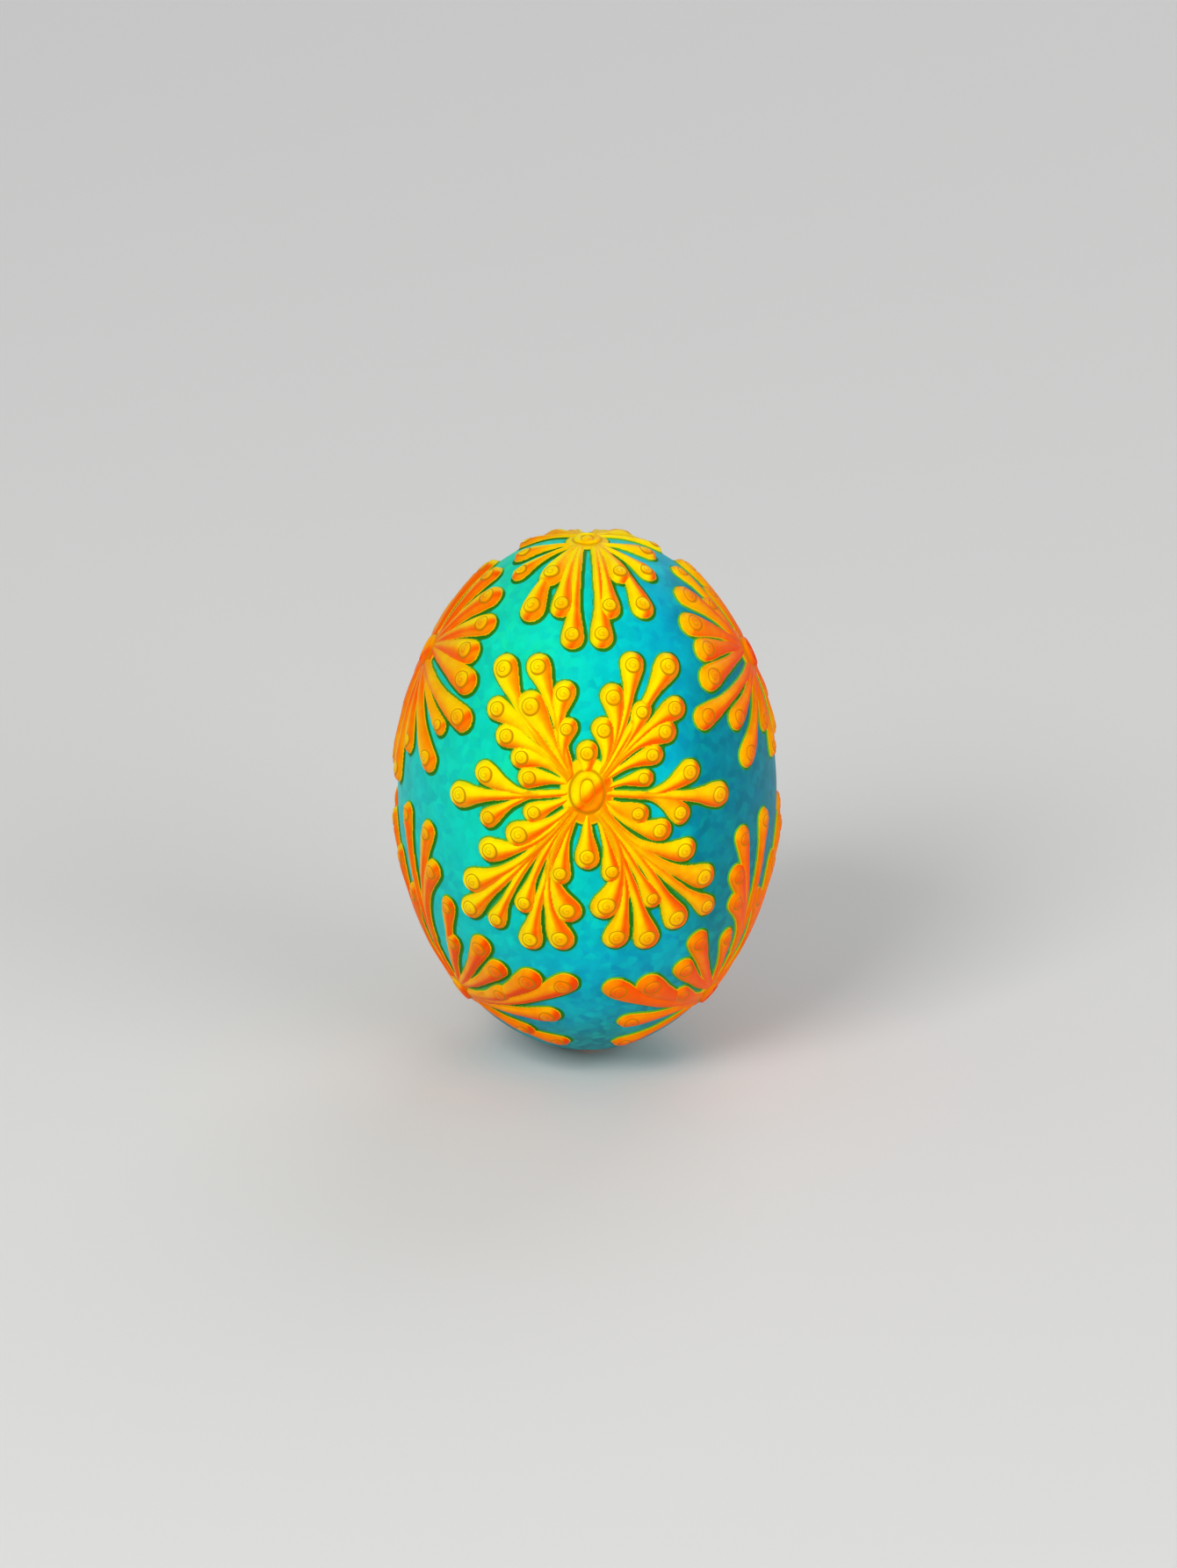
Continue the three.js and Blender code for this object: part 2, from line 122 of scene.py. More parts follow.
def polar(bearing, reach):
    angle = math.radians(bearing)
    return Vector((reach * math.sin(angle), reach * math.cos(angle)))


# ---- the design ----
# A drop is (bearing, reach, head radius, bow of its tail towards the clockwise side). Bearings are
# degrees clockwise from upward, and reaches are millimetres along the shell.
def pulled(bearing, reach, drops, fork=None):
    """A spray: where its root is, its drops, and the fork where its side strokes leave the first."""
    return {"root": (bearing, reach), "drops": drops, "fork": fork}


def mirrored(drops):
    return [(-bearing, reach, radius, -bow) for bearing, reach, radius, bow in drops]


def turned(drops, by):
    return [(bearing + by, reach, radius, bow) for bearing, reach, radius, bow in drops]


GREAT_ROSETTE = {
    "crown_drop": pulled(0, 2.8, [(0, 4.6, 1.2, 0)]),
    "lower_drop": pulled(180, 3.1, [(180, 7.9, 1.35, 0)]),
    "upper_left_plume": pulled(302, 3.3, [
        (325, 17, 1.55, -0.9), (338, 15, 1.4, 0.2), (347, 11.3, 1.3, -1.1), (343, 7.5, 1.1, -0.8),
        (326, 11.7, 1.6, 0.2), (311, 14.2, 1.35, 0.8), (303, 11.4, 1.3, 0.8), (296, 8.6, 1.2, 0.7),
        (282, 7, 1.2, 0.2),
    ]),
    "upper_right_plume": pulled(50, 3.3, [
        (20, 15, 1.35, 0.8), (34, 17, 1.5, 0), (15, 11, 1.35, 1), (14, 7.3, 1.25, 0.6),
        (35, 11, 1.1, 0.4), (48, 14, 1.35, -0.6), (54, 11.4, 1.3, -0.8), (62, 8.7, 1.15, -0.3),
    ]),
    "right_upper_drop": pulled(80, 3.3, [(78, 6.8, 1, -0.2)]),
    "right_arm": pulled(96, 3.3, fork=(95, 8.5), drops=[
        (95, 16.7, 1.5, 0), (81, 12.5, 1.35, 0.2), (106, 11.5, 1.25, -0.2),
    ]),
    "right_lower_pair": pulled(120, 3.5, [(115, 6.6, 1.15, 0), (120, 9.9, 1.3, 0.8)]),
    "left_arm": pulled(267, 3.3, fork=(264, 8), drops=[
        (265, 16, 1.5, 0), (278, 12.4, 1.4, 0), (252, 12.4, 1.15, -0.3),
    ]),
    "left_lower_drop": pulled(249, 3.4, [(247, 6.8, 1.15, 0)]),
    "lower_left_plume": pulled(216, 4.2, [
        (236, 9.7, 1.5, -0.4), (236, 14, 1.45, -1.4), (228, 18.4, 1.5, -1.2), (221, 21.2, 1.4, -0.2),
        (212, 19.6, 1.15, 1), (207, 15.6, 1.2, 0.8), (199, 19.3, 1.4, 0.8), (189, 18, 1.5, 2.4),
        (188, 14.5, 1.45, 2.4), (197, 10.4, 1.2, 0.3),
    ]),
    "lower_right_plume": pulled(148, 4.2, [
        (124, 14, 1.4, 1.6), (130, 18.4, 1.5, 1.4), (138, 21.4, 1.25, 0.4), (148, 19.3, 1.5, -0.7),
        (151, 15.3, 1.1, -0.2), (160, 19.3, 1.5, -0.7), (170, 17.9, 1.45, -2), (172, 13.9, 1.6, -2.2),
        (164, 10.1, 1.15, -0.2),
    ]),
}

POLE_LEFT_DROPS = [
    (241, 9.1, 1.1, 0), (212, 8, 1.4, 0.2), (212, 12.9, 1.5, 0.4), (195, 12, 1.3, 0.2),
    (187, 15.8, 1.3, 0),
]
POLE_RIGHT_DROPS = [
    (173, 15.7, 1.3, 0), (167, 12.2, 1.25, -0.2), (147, 12.7, 1.35, -0.3), (150, 7.8, 1.25, -0.2),
    (125, 8.7, 1.15, 0),
]
POLE_ROSETTE = {
    "front_left_plume": pulled(214, 2.6, POLE_LEFT_DROPS + [(266, 7.5, 1.2, 0)]),
    "front_right_plume": pulled(146, 2.6, POLE_RIGHT_DROPS + [(94, 7, 1.2, 0)]),
    "back_right_plume": pulled(34, 2.6, turned(POLE_LEFT_DROPS, 180)),
    "back_left_plume": pulled(326, 2.6, turned(POLE_RIGHT_DROPS, 180)),
}

FAN_UPPER_DROPS = [
    (2, 11.5, 1.4, 0), (24, 11.6, 1.5, 0), (43, 11.6, 1.4, 0), (61, 10.2, 1.5, 0),
    (79, 11.6, 1.55, 0),
]
FAN_LOWER_DROPS = [
    (97, 13.8, 1.5, 0.3), (113, 11.8, 1, 0.2), (131, 14.1, 1.4, 0.3), (153, 11, 1.2, 0),
    (171, 14.6, 1.4, 0),
]
LEFT_FAN_ROSETTE = {
    "front_upper_plume": pulled(44, 2.9, FAN_UPPER_DROPS),
    "front_lower_plume": pulled(132, 2.9, FAN_LOWER_DROPS),
    "back_upper_plume": pulled(-44, 2.9, mirrored(FAN_UPPER_DROPS[1:])),
    "back_lower_plume": pulled(-132, 2.9, mirrored(FAN_LOWER_DROPS)),
}

RIGHT_UPPER_DROPS = [
    (358, 12.5, 1.05, 0), (337, 12, 1.45, 0), (346, 8, 1, 0), (318, 12.1, 1.5, 0),
    (302, 11.1, 1.4, 0), (285, 11.9, 1.5, 0),
]
RIGHT_LOWER_DROPS = [
    (270, 15.4, 1.4, -0.3), (253, 11.2, 1.3, -0.2), (233, 13.6, 1.4, -0.2), (212, 8.4, 1.1, 0),
    (197, 11.4, 1.1, 0),
]
RIGHT_FAN_ROSETTE = {
    "front_upper_plume": pulled(316, 2.9, RIGHT_UPPER_DROPS),
    "front_lower_plume": pulled(228, 2.9, RIGHT_LOWER_DROPS),
    "back_upper_plume": pulled(44, 2.9, mirrored(RIGHT_UPPER_DROPS[1:])),
    "back_lower_plume": pulled(132, 2.9, mirrored(RIGHT_LOWER_DROPS)),
}

FOOT_UPPER_DROPS = [
    (22, 15.4, 1.1, 0.2), (28, 10.2, 1.05, 0), (46, 13.3, 1.35, 0.4), (62, 12, 1.3, 0.3),
]
FOOT_LOWER_DROPS = [
    (80, 9.3, 1.2, 0.2), (76, 14.8, 1.5, 0.6), (86, 18.3, 1.5, 0.4), (104, 13.6, 1.3, -0.4),
    (126, 9.3, 1.15, -0.2), (133, 13.4, 1.15, -0.3),
]
TALL_SPRIG_DROPS = [(356, 23.4, 1.15, 0), (8, 23, 1.2, 0.4), (12, 18.8, 1.25, 0.5)]
BROAD_SPRIG_DROPS = [
    (0, 24, 1.4, 0), (9, 21.5, 1.3, 0.3), (-9, 21.5, 1.3, -0.3), (15, 17.4, 1.3, 0.3),
    (-15, 17.4, 1.3, -0.3), (25, 13.4, 1.2, 0.2), (-25, 13.4, 1.2, -0.2),
]
LEFT_FOOT_ROSETTE = {
    "tall_sprig": pulled(0, 2.9, fork=(0, 13), drops=TALL_SPRIG_DROPS),
    "front_upper_plume": pulled(38, 2.9, FOOT_UPPER_DROPS),
    "front_lower_plume": pulled(92, 2.9, FOOT_LOWER_DROPS),
    "back_sprig": pulled(-36, 2.9, fork=(-36, 8), drops=turned(BROAD_SPRIG_DROPS, -36)),
    "back_lower_plume": pulled(-92, 2.9, mirrored(FOOT_LOWER_DROPS)),
}
RIGHT_FOOT_ROSETTE = {
    "tall_sprig": pulled(0, 2.9, fork=(0, 11), drops=mirrored(TALL_SPRIG_DROPS) + [
        (347, 15.2, 1.2, -0.3),
    ]),
    "front_upper_plume": pulled(326, 2.9, [
        (342, 10.4, 1.05, 0), (321, 13.4, 1.35, -0.4), (305, 11, 1.3, -0.3),
    ]),
    "front_lower_plume": pulled(268, 2.9, [
        (285, 7.2, 1.15, -0.2), (285, 13.2, 1.5, -0.4), (275, 16.6, 1.5, -0.4), (252, 12, 1.25, 0.4),
        (224, 11.8, 1.15, 0.2),
    ]),
    "back_sprig": pulled(36, 2.9, fork=(36, 8), drops=turned(BROAD_SPRIG_DROPS, 36)),
    "back_lower_plume": pulled(92, 2.9, FOOT_LOWER_DROPS),
}
SHORT_UPPER_DROPS = FOOT_UPPER_DROPS[1:]
SHORT_LOWER_DROPS = [drop for drop in FOOT_LOWER_DROPS if drop[1] < 18]
BACK_FOOT_ROSETTE = {
    "top_drop": pulled(0, 2.9, [(0, 8.5, 1.3, 0)]),
    "right_upper_plume": pulled(42, 2.9, SHORT_UPPER_DROPS),
    "right_lower_plume": pulled(92, 2.9, SHORT_LOWER_DROPS),
    "left_upper_plume": pulled(-42, 2.9, mirrored(SHORT_UPPER_DROPS)),
    "left_lower_plume": pulled(-92, 2.9, mirrored(SHORT_LOWER_DROPS)),
}

GREAT_BOSS = (1.8, 2.3)
POLE_BOSS = (1.5, 1.5)
FAN_BOSS = (1.4, 1.9)
FOOT_BOSS = (1.4, 1.6)
# Each rosette: its turn in degrees from the front, its height above the girth, its boss's half width
# and half height, its sprays, how far its wax has turned from yellow (0) to red-orange (1), and how
# full its tails are: their width where they leave a head, as a share of the head's.
ROSETTES = {
    "top": (0, UPPER_HEIGHT, POLE_BOSS, POLE_ROSETTE, 0.12, 0.52),
    "front": (0, 8.5, GREAT_BOSS, GREAT_ROSETTE, 0.05, 0.45),
    "back": (180, 8.5, GREAT_BOSS, GREAT_ROSETTE, 0.05, 0.45),
    "left": (-87, 17.8, FAN_BOSS, LEFT_FAN_ROSETTE, 0.4, 0.75),
    "right": (89, 17.3, FAN_BOSS, RIGHT_FAN_ROSETTE, 0.5, 0.62),
    "lower_left": (-64, -21.7, FOOT_BOSS, LEFT_FOOT_ROSETTE, 0.5, 0.66),
    "lower_right": (62, -22, FOOT_BOSS, RIGHT_FOOT_ROSETTE, 0.56, 0.66),
    "lower_back": (180, -22, FOOT_BOSS, BACK_FOOT_ROSETTE, 0.5, 0.66),
}


# ---- wiring node trees ----
class Wiring:
    """Adds nodes to a tree and joins them. add gives back the node, and the rest what it puts out."""

    def __init__(self, tree):
        self.tree = tree

    def add(self, kind, inputs=None, **settings):
        node = self.tree.nodes.new(kind)
        for name, value in settings.items():
            setattr(node, name, value)
        for socket, value in (inputs or {}).items():
            self.feed(node.inputs[socket], value)
        return node

    def feed(self, socket, value):
        if isinstance(value, bpy.types.NodeSocket):
            self.tree.links.new(value, socket)
        else:
            socket.default_value = value

    def made(self, kind, inputs=None, **settings):
        return self.add(kind, inputs, **settings).outputs[0]

    def math(self, operation, *values):
        return self.made("ShaderNodeMath", dict(enumerate(values)), operation=operation)

    def plus(self, first, second):
        return self.math("ADD", first, second)

    def minus(self, first, second):
        return self.math("SUBTRACT", first, second)

    def times(self, first, second):
        return self.math("MULTIPLY", first, second)

    def times_plus(self, first, second, third):
        return self.math("MULTIPLY_ADD", first, second, third)

    def over(self, first, second):
        return self.math("DIVIDE", first, second)

    def vector(self, operation, *values):
        node = self.add("ShaderNodeVectorMath", dict(enumerate(values)), operation=operation)
        gives_number = operation in ("LENGTH", "DOT_PRODUCT", "DISTANCE")
        return node.outputs["Value" if gives_number else "Vector"]

    def scaled(self, vector, factor):
        inputs = {"Vector": vector, "Scale": factor}
        return self.made("ShaderNodeVectorMath", inputs, operation="SCALE")

    def split(self, vector):
        return self.add("ShaderNodeSeparateXYZ", {0: vector}).outputs

    def join(self, x, y, z):
        return self.made("ShaderNodeCombineXYZ", {0: x, 1: y, 2: z})

    def either(self, choice, when_false, when_true, kind="FLOAT"):
        inputs = {0: choice, 1: when_false, 2: when_true}
        return self.made("GeometryNodeSwitch", inputs, input_type=kind)

    def remap(self, value, low, high, to_low=0.0, to_high=1.0, smooth=True):
        inputs = dict(enumerate([value, low, high, to_low, to_high]))
        ease = "SMOOTHSTEP" if smooth else "LINEAR"
        return self.made("ShaderNodeMapRange", inputs, interpolation_type=ease)

    def position(self):
        return self.made("GeometryNodeInputPosition")

    def noise(self, place, scale, detail, output=0):
        node = self.add("ShaderNodeTexNoise", {"Vector": place, "Scale": scale, "Detail": detail})
        return node.outputs[output]

    def placed(self, geometry, **where):
        """Sets points by Position, or moves them by Offset."""
        return self.made("GeometryNodeSetPosition", {"Geometry": geometry, **where})

    def without(self, geometry, faces):
        inputs = {"Geometry": geometry, "Selection": faces}
        return self.made("GeometryNodeDeleteGeometry", inputs, domain="FACE")

    def named(self, name, kind="FLOAT"):
        return self.made("GeometryNodeInputNamedAttribute", {"Name": name}, data_type=kind)

    def store(self, geometry, name, value, kind="FLOAT"):
        inputs = {"Geometry": geometry, "Name": name, "Value": value}
        return self.made("GeometryNodeStoreNamedAttribute", inputs, data_type=kind, domain="POINT")


SOCKETS = {
    "geometry": "NodeSocketGeometry", "float": "NodeSocketFloat", "int": "NodeSocketInt",
    "vector": "NodeSocketVector", "material": "NodeSocketMaterial",
}


def new_tree(name, inputs):
    """A Geometry Nodes tree with named inputs, given as name: kind."""
    tree = bpy.data.node_groups.new(name, "GeometryNodeTree")
    for label, kind in inputs.items():
        tree.interface.new_socket(label, in_out="INPUT", socket_type=SOCKETS[kind])
    tree.interface.new_socket("Geometry", in_out="OUTPUT", socket_type="NodeSocketGeometry")
    wiring = Wiring(tree)
    return tree, wiring, wiring.add("NodeGroupInput").outputs


def end_tree(wiring, geometry, material):
    """Smooths, realises and gives the material: the end of every tree here."""
    smooth = wiring.made("GeometryNodeSetShadeSmooth", {"Geometry": geometry})
    real = wiring.made("GeometryNodeRealizeInstances", {"Geometry": smooth})
    inputs = {"Geometry": real, "Material": material}
    dressed = wiring.made("GeometryNodeSetMaterial", inputs)
    wiring.add("NodeGroupOutput", {0: dressed})


def built_piece(name, tree, values, start=None):
    """Runs a tree on a start mesh, with its inputs by name, and keeps the result as a plain mesh."""
    mesh = start or bpy.data.meshes.new(name + "_guides")
    maker = bpy.data.objects.new(name + "_maker", mesh)
    bpy.context.scene.collection.objects.link(maker)
    modifier = maker.modifiers.new("maker", "NODES")
    modifier.node_group = tree
    for item in tree.interface.items_tree:
        if item.in_out == "INPUT" and item.name in values:
            modifier[item.identifier] = values[item.name]
    bpy.context.view_layer.update()
    evaluated = maker.evaluated_get(bpy.context.evaluated_depsgraph_get())
    result = bpy.data.meshes.new_from_object(evaluated)
    result.name = name
    maker.modifiers.clear()
    bpy.data.objects.remove(maker)
    bpy.data.meshes.remove(mesh)
    piece = bpy.data.objects.new(name, result)
    bpy.context.scene.collection.objects.link(piece)
    return piece


# ---- the shell ----
def egg_height_nodes(wiring, z, upper, lower):
    """The egg's height above or below the girth, whichever side z is on."""
    above = wiring.made("FunctionNodeCompare", {0: z, 1: 0.0}, operation="GREATER_EQUAL")
    return wiring.either(above, lower, upper)


def in_metres(wiring, geometry, level):
    """Turns millimetres from the egg's middle into metres from the origin."""
    raised = wiring.placed(geometry, Offset=wiring.join(0.0, 0.0, level))
    return wiring.made("GeometryNodeTransform", {"Geometry": raised, "Scale": (MM, MM, MM)})


def shell_tree():
    """A hollow egg turned from two half ellipses, open at a blow hole in its lower end."""
    tree, wiring, given = new_tree("blown_eggshell", {
        "Girth radius": "float", "Upper height": "float", "Lower height": "float", "Wall": "float",
        "Blow hole radius": "float", "Girth level": "float", "Facets round": "int",
        "Facets up": "int", "Material": "material",
    })
    rows = wiring.times_plus(given["Facets up"], 2.0, 3.0)
    last_row = wiring.minus(rows, 1.0)
    last_inner_row = wiring.minus(rows, 2.0)
    grid = wiring.add("GeometryNodeMeshGrid", {
        "Size X": 1.0, "Size Y": last_row, "Vertices Y": rows,
        "Vertices X": wiring.plus(given["Facets round"], 1.0),
    })
    x, y, _ = wiring.split(wiring.position())
    turn = wiring.times(wiring.plus(x, 0.5), 2 * math.pi)
    row = wiring.times_plus(last_row, 0.5, y)
    rise = wiring.math("MINIMUM", row, wiring.minus(last_inner_row, row))
    share = wiring.over(wiring.math("MAXIMUM", rise, 0.0), given["Facets up"])
    past_pole = wiring.minus(row, wiring.plus(given["Facets up"], 0.5))
    inner = wiring.math("GREATER_THAN", past_pole, 0.0)
    inner = wiring.times(inner, wiring.math("GREATER_THAN", rise, -0.5))
    inset = wiring.times(inner, given["Wall"])
    girth = wiring.minus(given["Girth radius"], inset)
    hole_share = wiring.over(given["Blow hole radius"], girth)
    start = wiring.times(wiring.math("ARCCOSINE", hole_share), -1.0)
    climb = wiring.minus(math.pi / 2, start)
    angle = wiring.times_plus(share, climb, start)
    radius = wiring.times(girth, wiring.math("COSINE", angle))
    height = egg_height_nodes(wiring, angle, given["Upper height"], given["Lower height"])
    level = wiring.times(wiring.minus(height, inset), wiring.math("SINE", angle))
    place = wiring.join(
        wiring.times(radius, wiring.math("SINE", turn)),
        wiring.times(radius, wiring.math("COSINE", turn)), level)
    between_walls = wiring.math("LESS_THAN", wiring.math("ABSOLUTE", past_pole), 0.25)
    open_shell = wiring.placed(wiring.without(grid.outputs[0], between_walls), Position=place)
    closed = wiring.made("GeometryNodeMergeByDistance", {"Geometry": open_shell, "Distance": 0.0005})
    facing_out = wiring.made("GeometryNodeFlipFaces", {"Mesh": closed})
    end_tree(wiring, in_metres(wiring, facing_out, given["Girth level"]), given["Material"])
    return tree


# ---- the wax relief ----
def patch_on_shell(wiring, given):
    """A flat grid laid on the shell round a rosette. Gives the mesh, each point's place in the
    middle of the egg's own millimetres, and the outward direction there."""
    size = wiring.split(given["Patch size"])
    counts = [wiring.math("CEIL", wiring.over(size[axis], given["Mesh step"])) for axis in (0, 1)]
    grid = wiring.add("GeometryNodeMeshGrid", {
        "Size X": size[0], "Size Y": size[1], "Vertices X": counts[0], "Vertices Y": counts[1],
    })
    flat = wiring.vector("ADD", wiring.position(), given["Patch middle"])
    east_share, north_share, _ = wiring.split(wiring.vector("NORMALIZE", flat))
    along = wiring.scaled(given["East"], east_share)
    along = wiring.vector("ADD", along, wiring.scaled(given["North"], north_share))
    angle = wiring.over(wiring.vector("LENGTH", flat), given["Ball radius"])
    sink = wiring.times(wiring.minus(wiring.math("COSINE", angle), 1.0), given["Ball radius"])
    aside = wiring.times(wiring.math("SINE", angle), given["Ball radius"])
    ball = wiring.vector("ADD", given["Centre"], wiring.scaled(given["Up"], sink))
    ball = wiring.vector("ADD", ball, wiring.scaled(along, aside))
    x, y, z = wiring.split(ball)
    height = egg_height_nodes(wiring, z, given["Upper height"], given["Lower height"])
    girth = given["Girth radius"]
    shares = wiring.join(wiring.over(x, girth), wiring.over(y, girth), wiring.over(z, height))
    on_shell = wiring.scaled(ball, wiring.over(1.0, wiring.vector("LENGTH", shares)))
    with_flat = wiring.store(grid.outputs[0], "flat", flat, "FLOAT_VECTOR")
    return wiring.placed(with_flat, Position=on_shell)


def outward_nodes(wiring, given):
    position = wiring.position()
    x, y, z = wiring.split(position)
    height = egg_height_nodes(wiring, z, given["Upper height"], given["Lower height"])
    girth_squared = wiring.times(given["Girth radius"], given["Girth radius"])
    slope = wiring.join(
        wiring.over(x, girth_squared), wiring.over(y, girth_squared),
        wiring.over(z, wiring.times(height, height)))
    return position, wiring.vector("NORMALIZE", slope)


def without_pinches(wiring, sheet):
    """Drops the faces at any corner where a sheet hangs together by a point alone."""
    edges = wiring.add("GeometryNodeEdgesOfVertex").outputs["Total"]
    faces = wiring.add("GeometryNodeCornersOfVertex").outputs["Total"]
    pinched = wiring.math("GREATER_THAN", wiring.minus(edges, faces), 1.5)
    marked = wiring.store(sheet, "pinched", pinched)
    at_pinch = wiring.math("GREATER_THAN", wiring.named("pinched"), 0.1)
    return wiring.without(marked, at_pinch)


def closed_relief(wiring, given, patch, height):
    """Raises a patch by its height, cuts off what is well under the shell, and closes it below."""
    _, up = outward_nodes(wiring, given)
    held = wiring.store(patch, "wax_height", height)
    held = wiring.store(held, "shell_up", up, "FLOAT_VECTOR")
    buried = wiring.math("LESS_THAN", wiring.named("wax_height"), CUT_LEVEL)
    kept = without_pinches(wiring, without_pinches(wiring, wiring.without(held, buried)))
    depth = wiring.scaled(wiring.named("shell_up", "FLOAT_VECTOR"), -FLOOR_DEPTH)
    floor = wiring.placed(kept, Offset=depth)
    rise = wiring.plus(wiring.named("wax_height"), FLOOR_DEPTH)
    raised = wiring.add("GeometryNodeExtrudeMesh", {
        "Mesh": floor, "Offset": wiring.named("shell_up", "FLOAT_VECTOR"), "Offset Scale": rise,
        "Individual": False,
    })
    under = wiring.made("GeometryNodeFlipFaces", {"Mesh": floor})
    both = wiring.add("GeometryNodeJoinGeometry")
    wiring.feed(both.inputs[0], raised.outputs[0])
    wiring.feed(both.inputs[0], under)
    inputs = {"Geometry": both.outputs[0], "Distance": 0.002}
    return wiring.made("GeometryNodeMergeByDistance", inputs)


RELIEF_INPUTS = {
    "Geometry": "geometry", "Centre": "vector", "Up": "vector", "East": "vector", "North": "vector",
    "Patch middle": "vector", "Patch size": "vector", "Mesh step": "float", "Ball radius": "float",
    "Girth radius": "float", "Upper height": "float", "Lower height": "float", "Girth level": "float",
    "Foot width": "float", "Warmth": "float", "Material": "material",
}


def swirl_share(wiring, x, y, reach):
    """How much a point of a head lies on the swirl scratched inside its ring (0 to 1)."""
    turn = wiring.over(wiring.math("ARCTAN2", y, x), 2 * math.pi)
    arm = wiring.math("FRACT", wiring.times_plus(reach, 3.2, turn))
    line = wiring.remap(wiring.math("ABSOLUTE", wiring.minus(arm, 0.5)), 0.2, 0.04)
    return wiring.times(line, wiring.remap(reach, 0.46, 0.3))


def spray_tree():
    """Wax pulled along guides: a teardrop ridge on each, joined where they run together."""
    tree, wiring, given = new_tree("pulled_wax_spray", {
        **RELIEF_INPUTS, "Strokes": "int", "Stations": "int", "Ring depth": "float",
        "Ring width": "float", "Wobble": "float", "Melt": "float", "Tail fullness": "float",
    })
    guides = given["Geometry"]
    patch = patch_on_shell(wiring, given)
    patch = wiring.store(patch, "height", -1.0)
    patch = wiring.store(patch, "second", -1.0)
    start = wiring.add("GeometryNodeRepeatInput")
    finish = wiring.add("GeometryNodeRepeatOutput")
    start.pair_with_output(finish)
    wiring.feed(start.inputs["Iterations"], given["Strokes"])
    wiring.feed(start.inputs["Geometry"], patch)
    stroke = start.outputs["Iteration"]

    def of_guide(value, station, kind="FLOAT"):
        index = wiring.times_plus(stroke, given["Stations"], station)
        inputs = {"Geometry": guides, "Value": value, "Index": index}
        return wiring.made("GeometryNodeSampleIndex", inputs, data_type=kind, domain="POINT")

    position = wiring.position()
    last_station = wiring.minus(given["Stations"], 1.0)
    head = of_guide(position, 0.0, "FLOAT_VECTOR")
    root = of_guide(position, last_station, "FLOAT_VECTOR")
    ring = of_guide(wiring.named("ring", "FLOAT_VECTOR"), 0.0, "FLOAT_VECTOR")
    ring_place = of_guide(wiring.named("ring_place", "FLOAT_VECTOR"), 0.0, "FLOAT_VECTOR")
    head_radius = of_guide(wiring.named("head_radius"), 0.0)
    near = wiring.add("GeometryNodeProximity", {
        "Geometry": guides, "Group ID": wiring.named("stroke", "INT"), "Sample Group ID": stroke,
    }, target_element="EDGES")
    from_head = wiring.vector("DISTANCE", near.outputs["Position"], head)
    length = wiring.vector("DISTANCE", head, root)
    fullness = given["Tail fullness"]
    head_length = wiring.times(head_radius, wiring.times_plus(fullness, 1.1, 1.3))
    fade = wiring.over(from_head, head_length)
    bulb = wiring.math("EXPONENT", wiring.times(wiring.times(fade, fade), -1.0))
    root_share = wiring.times_plus(wiring.times(fullness, fullness), 0.5, 0.15)
    taper = wiring.remap(
        wiring.over(from_head, length), 0.0, 1.0, fullness, root_share, smooth=False)
    bulge = wiring.times(bulb, wiring.minus(1.0, taper))
    width = wiring.times(head_radius, wiring.plus(taper, bulge))
    unevenness = wiring.noise(position, 0.55, 2.0)
    wobble = wiring.times(wiring.minus(unevenness, 0.5), given["Wobble"])
    distance = wiring.plus(near.outputs["Distance"], wobble)
    share = wiring.math("MINIMUM", wiring.math("MAXIMUM", wiring.over(distance, width), 0.0), 1.0)
    round_over = wiring.math("POWER", wiring.minus(1.0, wiring.math("POWER", share, 2.5)), 0.62)
    crest = wiring.times(wiring.math("POWER", width, 0.7), CREST_HEIGHT)
    past = wiring.math("MAXIMUM", wiring.minus(distance, width), 0.0)
    east = wiring.vector("NORMALIZE", wiring.vector("CROSS_PRODUCT", (0.0, 0.0, 1.0), position))
    _, up = outward_nodes(wiring, given)
    south = wiring.vector("CROSS_PRODUCT", east, up)
    # side: how far across its stroke a point lies towards the lower right, away from the painted
    # light at the upper left. It sets the painted light and shade on the wax's flanks and foot.
    lower_right = wiring.vector("ADD", wiring.scaled(east, 0.86), wiring.scaled(south, 0.51))
    offset = wiring.vector("SUBTRACT", position, near.outputs["Position"])
    side = wiring.over(wiring.vector("DOT_PRODUCT", offset, lower_right), width)
    # The foot, which is painted as the wax's shadow, is wider towards the lower right, away from the
    # painted light.
    foot_width = wiring.times(given["Foot width"], wiring.remap(side, -0.6, 1.0, 0.7, 1.4))
    foot_slope = wiring.over(FOOT_HEIGHT, foot_width)
    past_foot = wiring.math("MAXIMUM", wiring.minus(past, foot_width), 0.0)
    ridge = wiring.times_plus(crest, round_over, FOOT_HEIGHT)
    ridge = wiring.minus(ridge, wiring.times(past, foot_slope))
    ridge = wiring.minus(ridge, wiring.times(past_foot, 1.6))

    was = wiring.named("height")
    wins = wiring.math("GREATER_THAN", ridge, was)
    lower_of_two = wiring.math("MINIMUM", ridge, was)
    second = wiring.math("MAXIMUM", wiring.named("second"), lower_of_two)
    merged = wiring.math("SMOOTH_MAX", ridge, was, given["Melt"])
    around_ring = wiring.vector("SUBTRACT", wiring.named("flat", "FLOAT_VECTOR"), ring)
    around_ring = wiring.vector("NORMALIZE", around_ring)
    ring_share = wiring.over(wiring.vector("DISTANCE", position, ring_place), head_radius)
    x_share, y_share, _ = wiring.split(wiring.scaled(around_ring, ring_share))
    head_at = wiring.join(x_share, y_share, head_radius)

    geometry = start.outputs["Geometry"]
    geometry = wiring.store(geometry, "side", wiring.either(wins, wiring.named("side"), side))
    geometry = wiring.store(geometry, "head_at", wiring.either(
        wins, wiring.named("head_at", "FLOAT_VECTOR"), head_at, "VECTOR"), "FLOAT_VECTOR")
    geometry = wiring.store(geometry, "second", second)
    geometry = wiring.store(geometry, "height", merged)
    wiring.feed(finish.inputs["Geometry"], geometry)

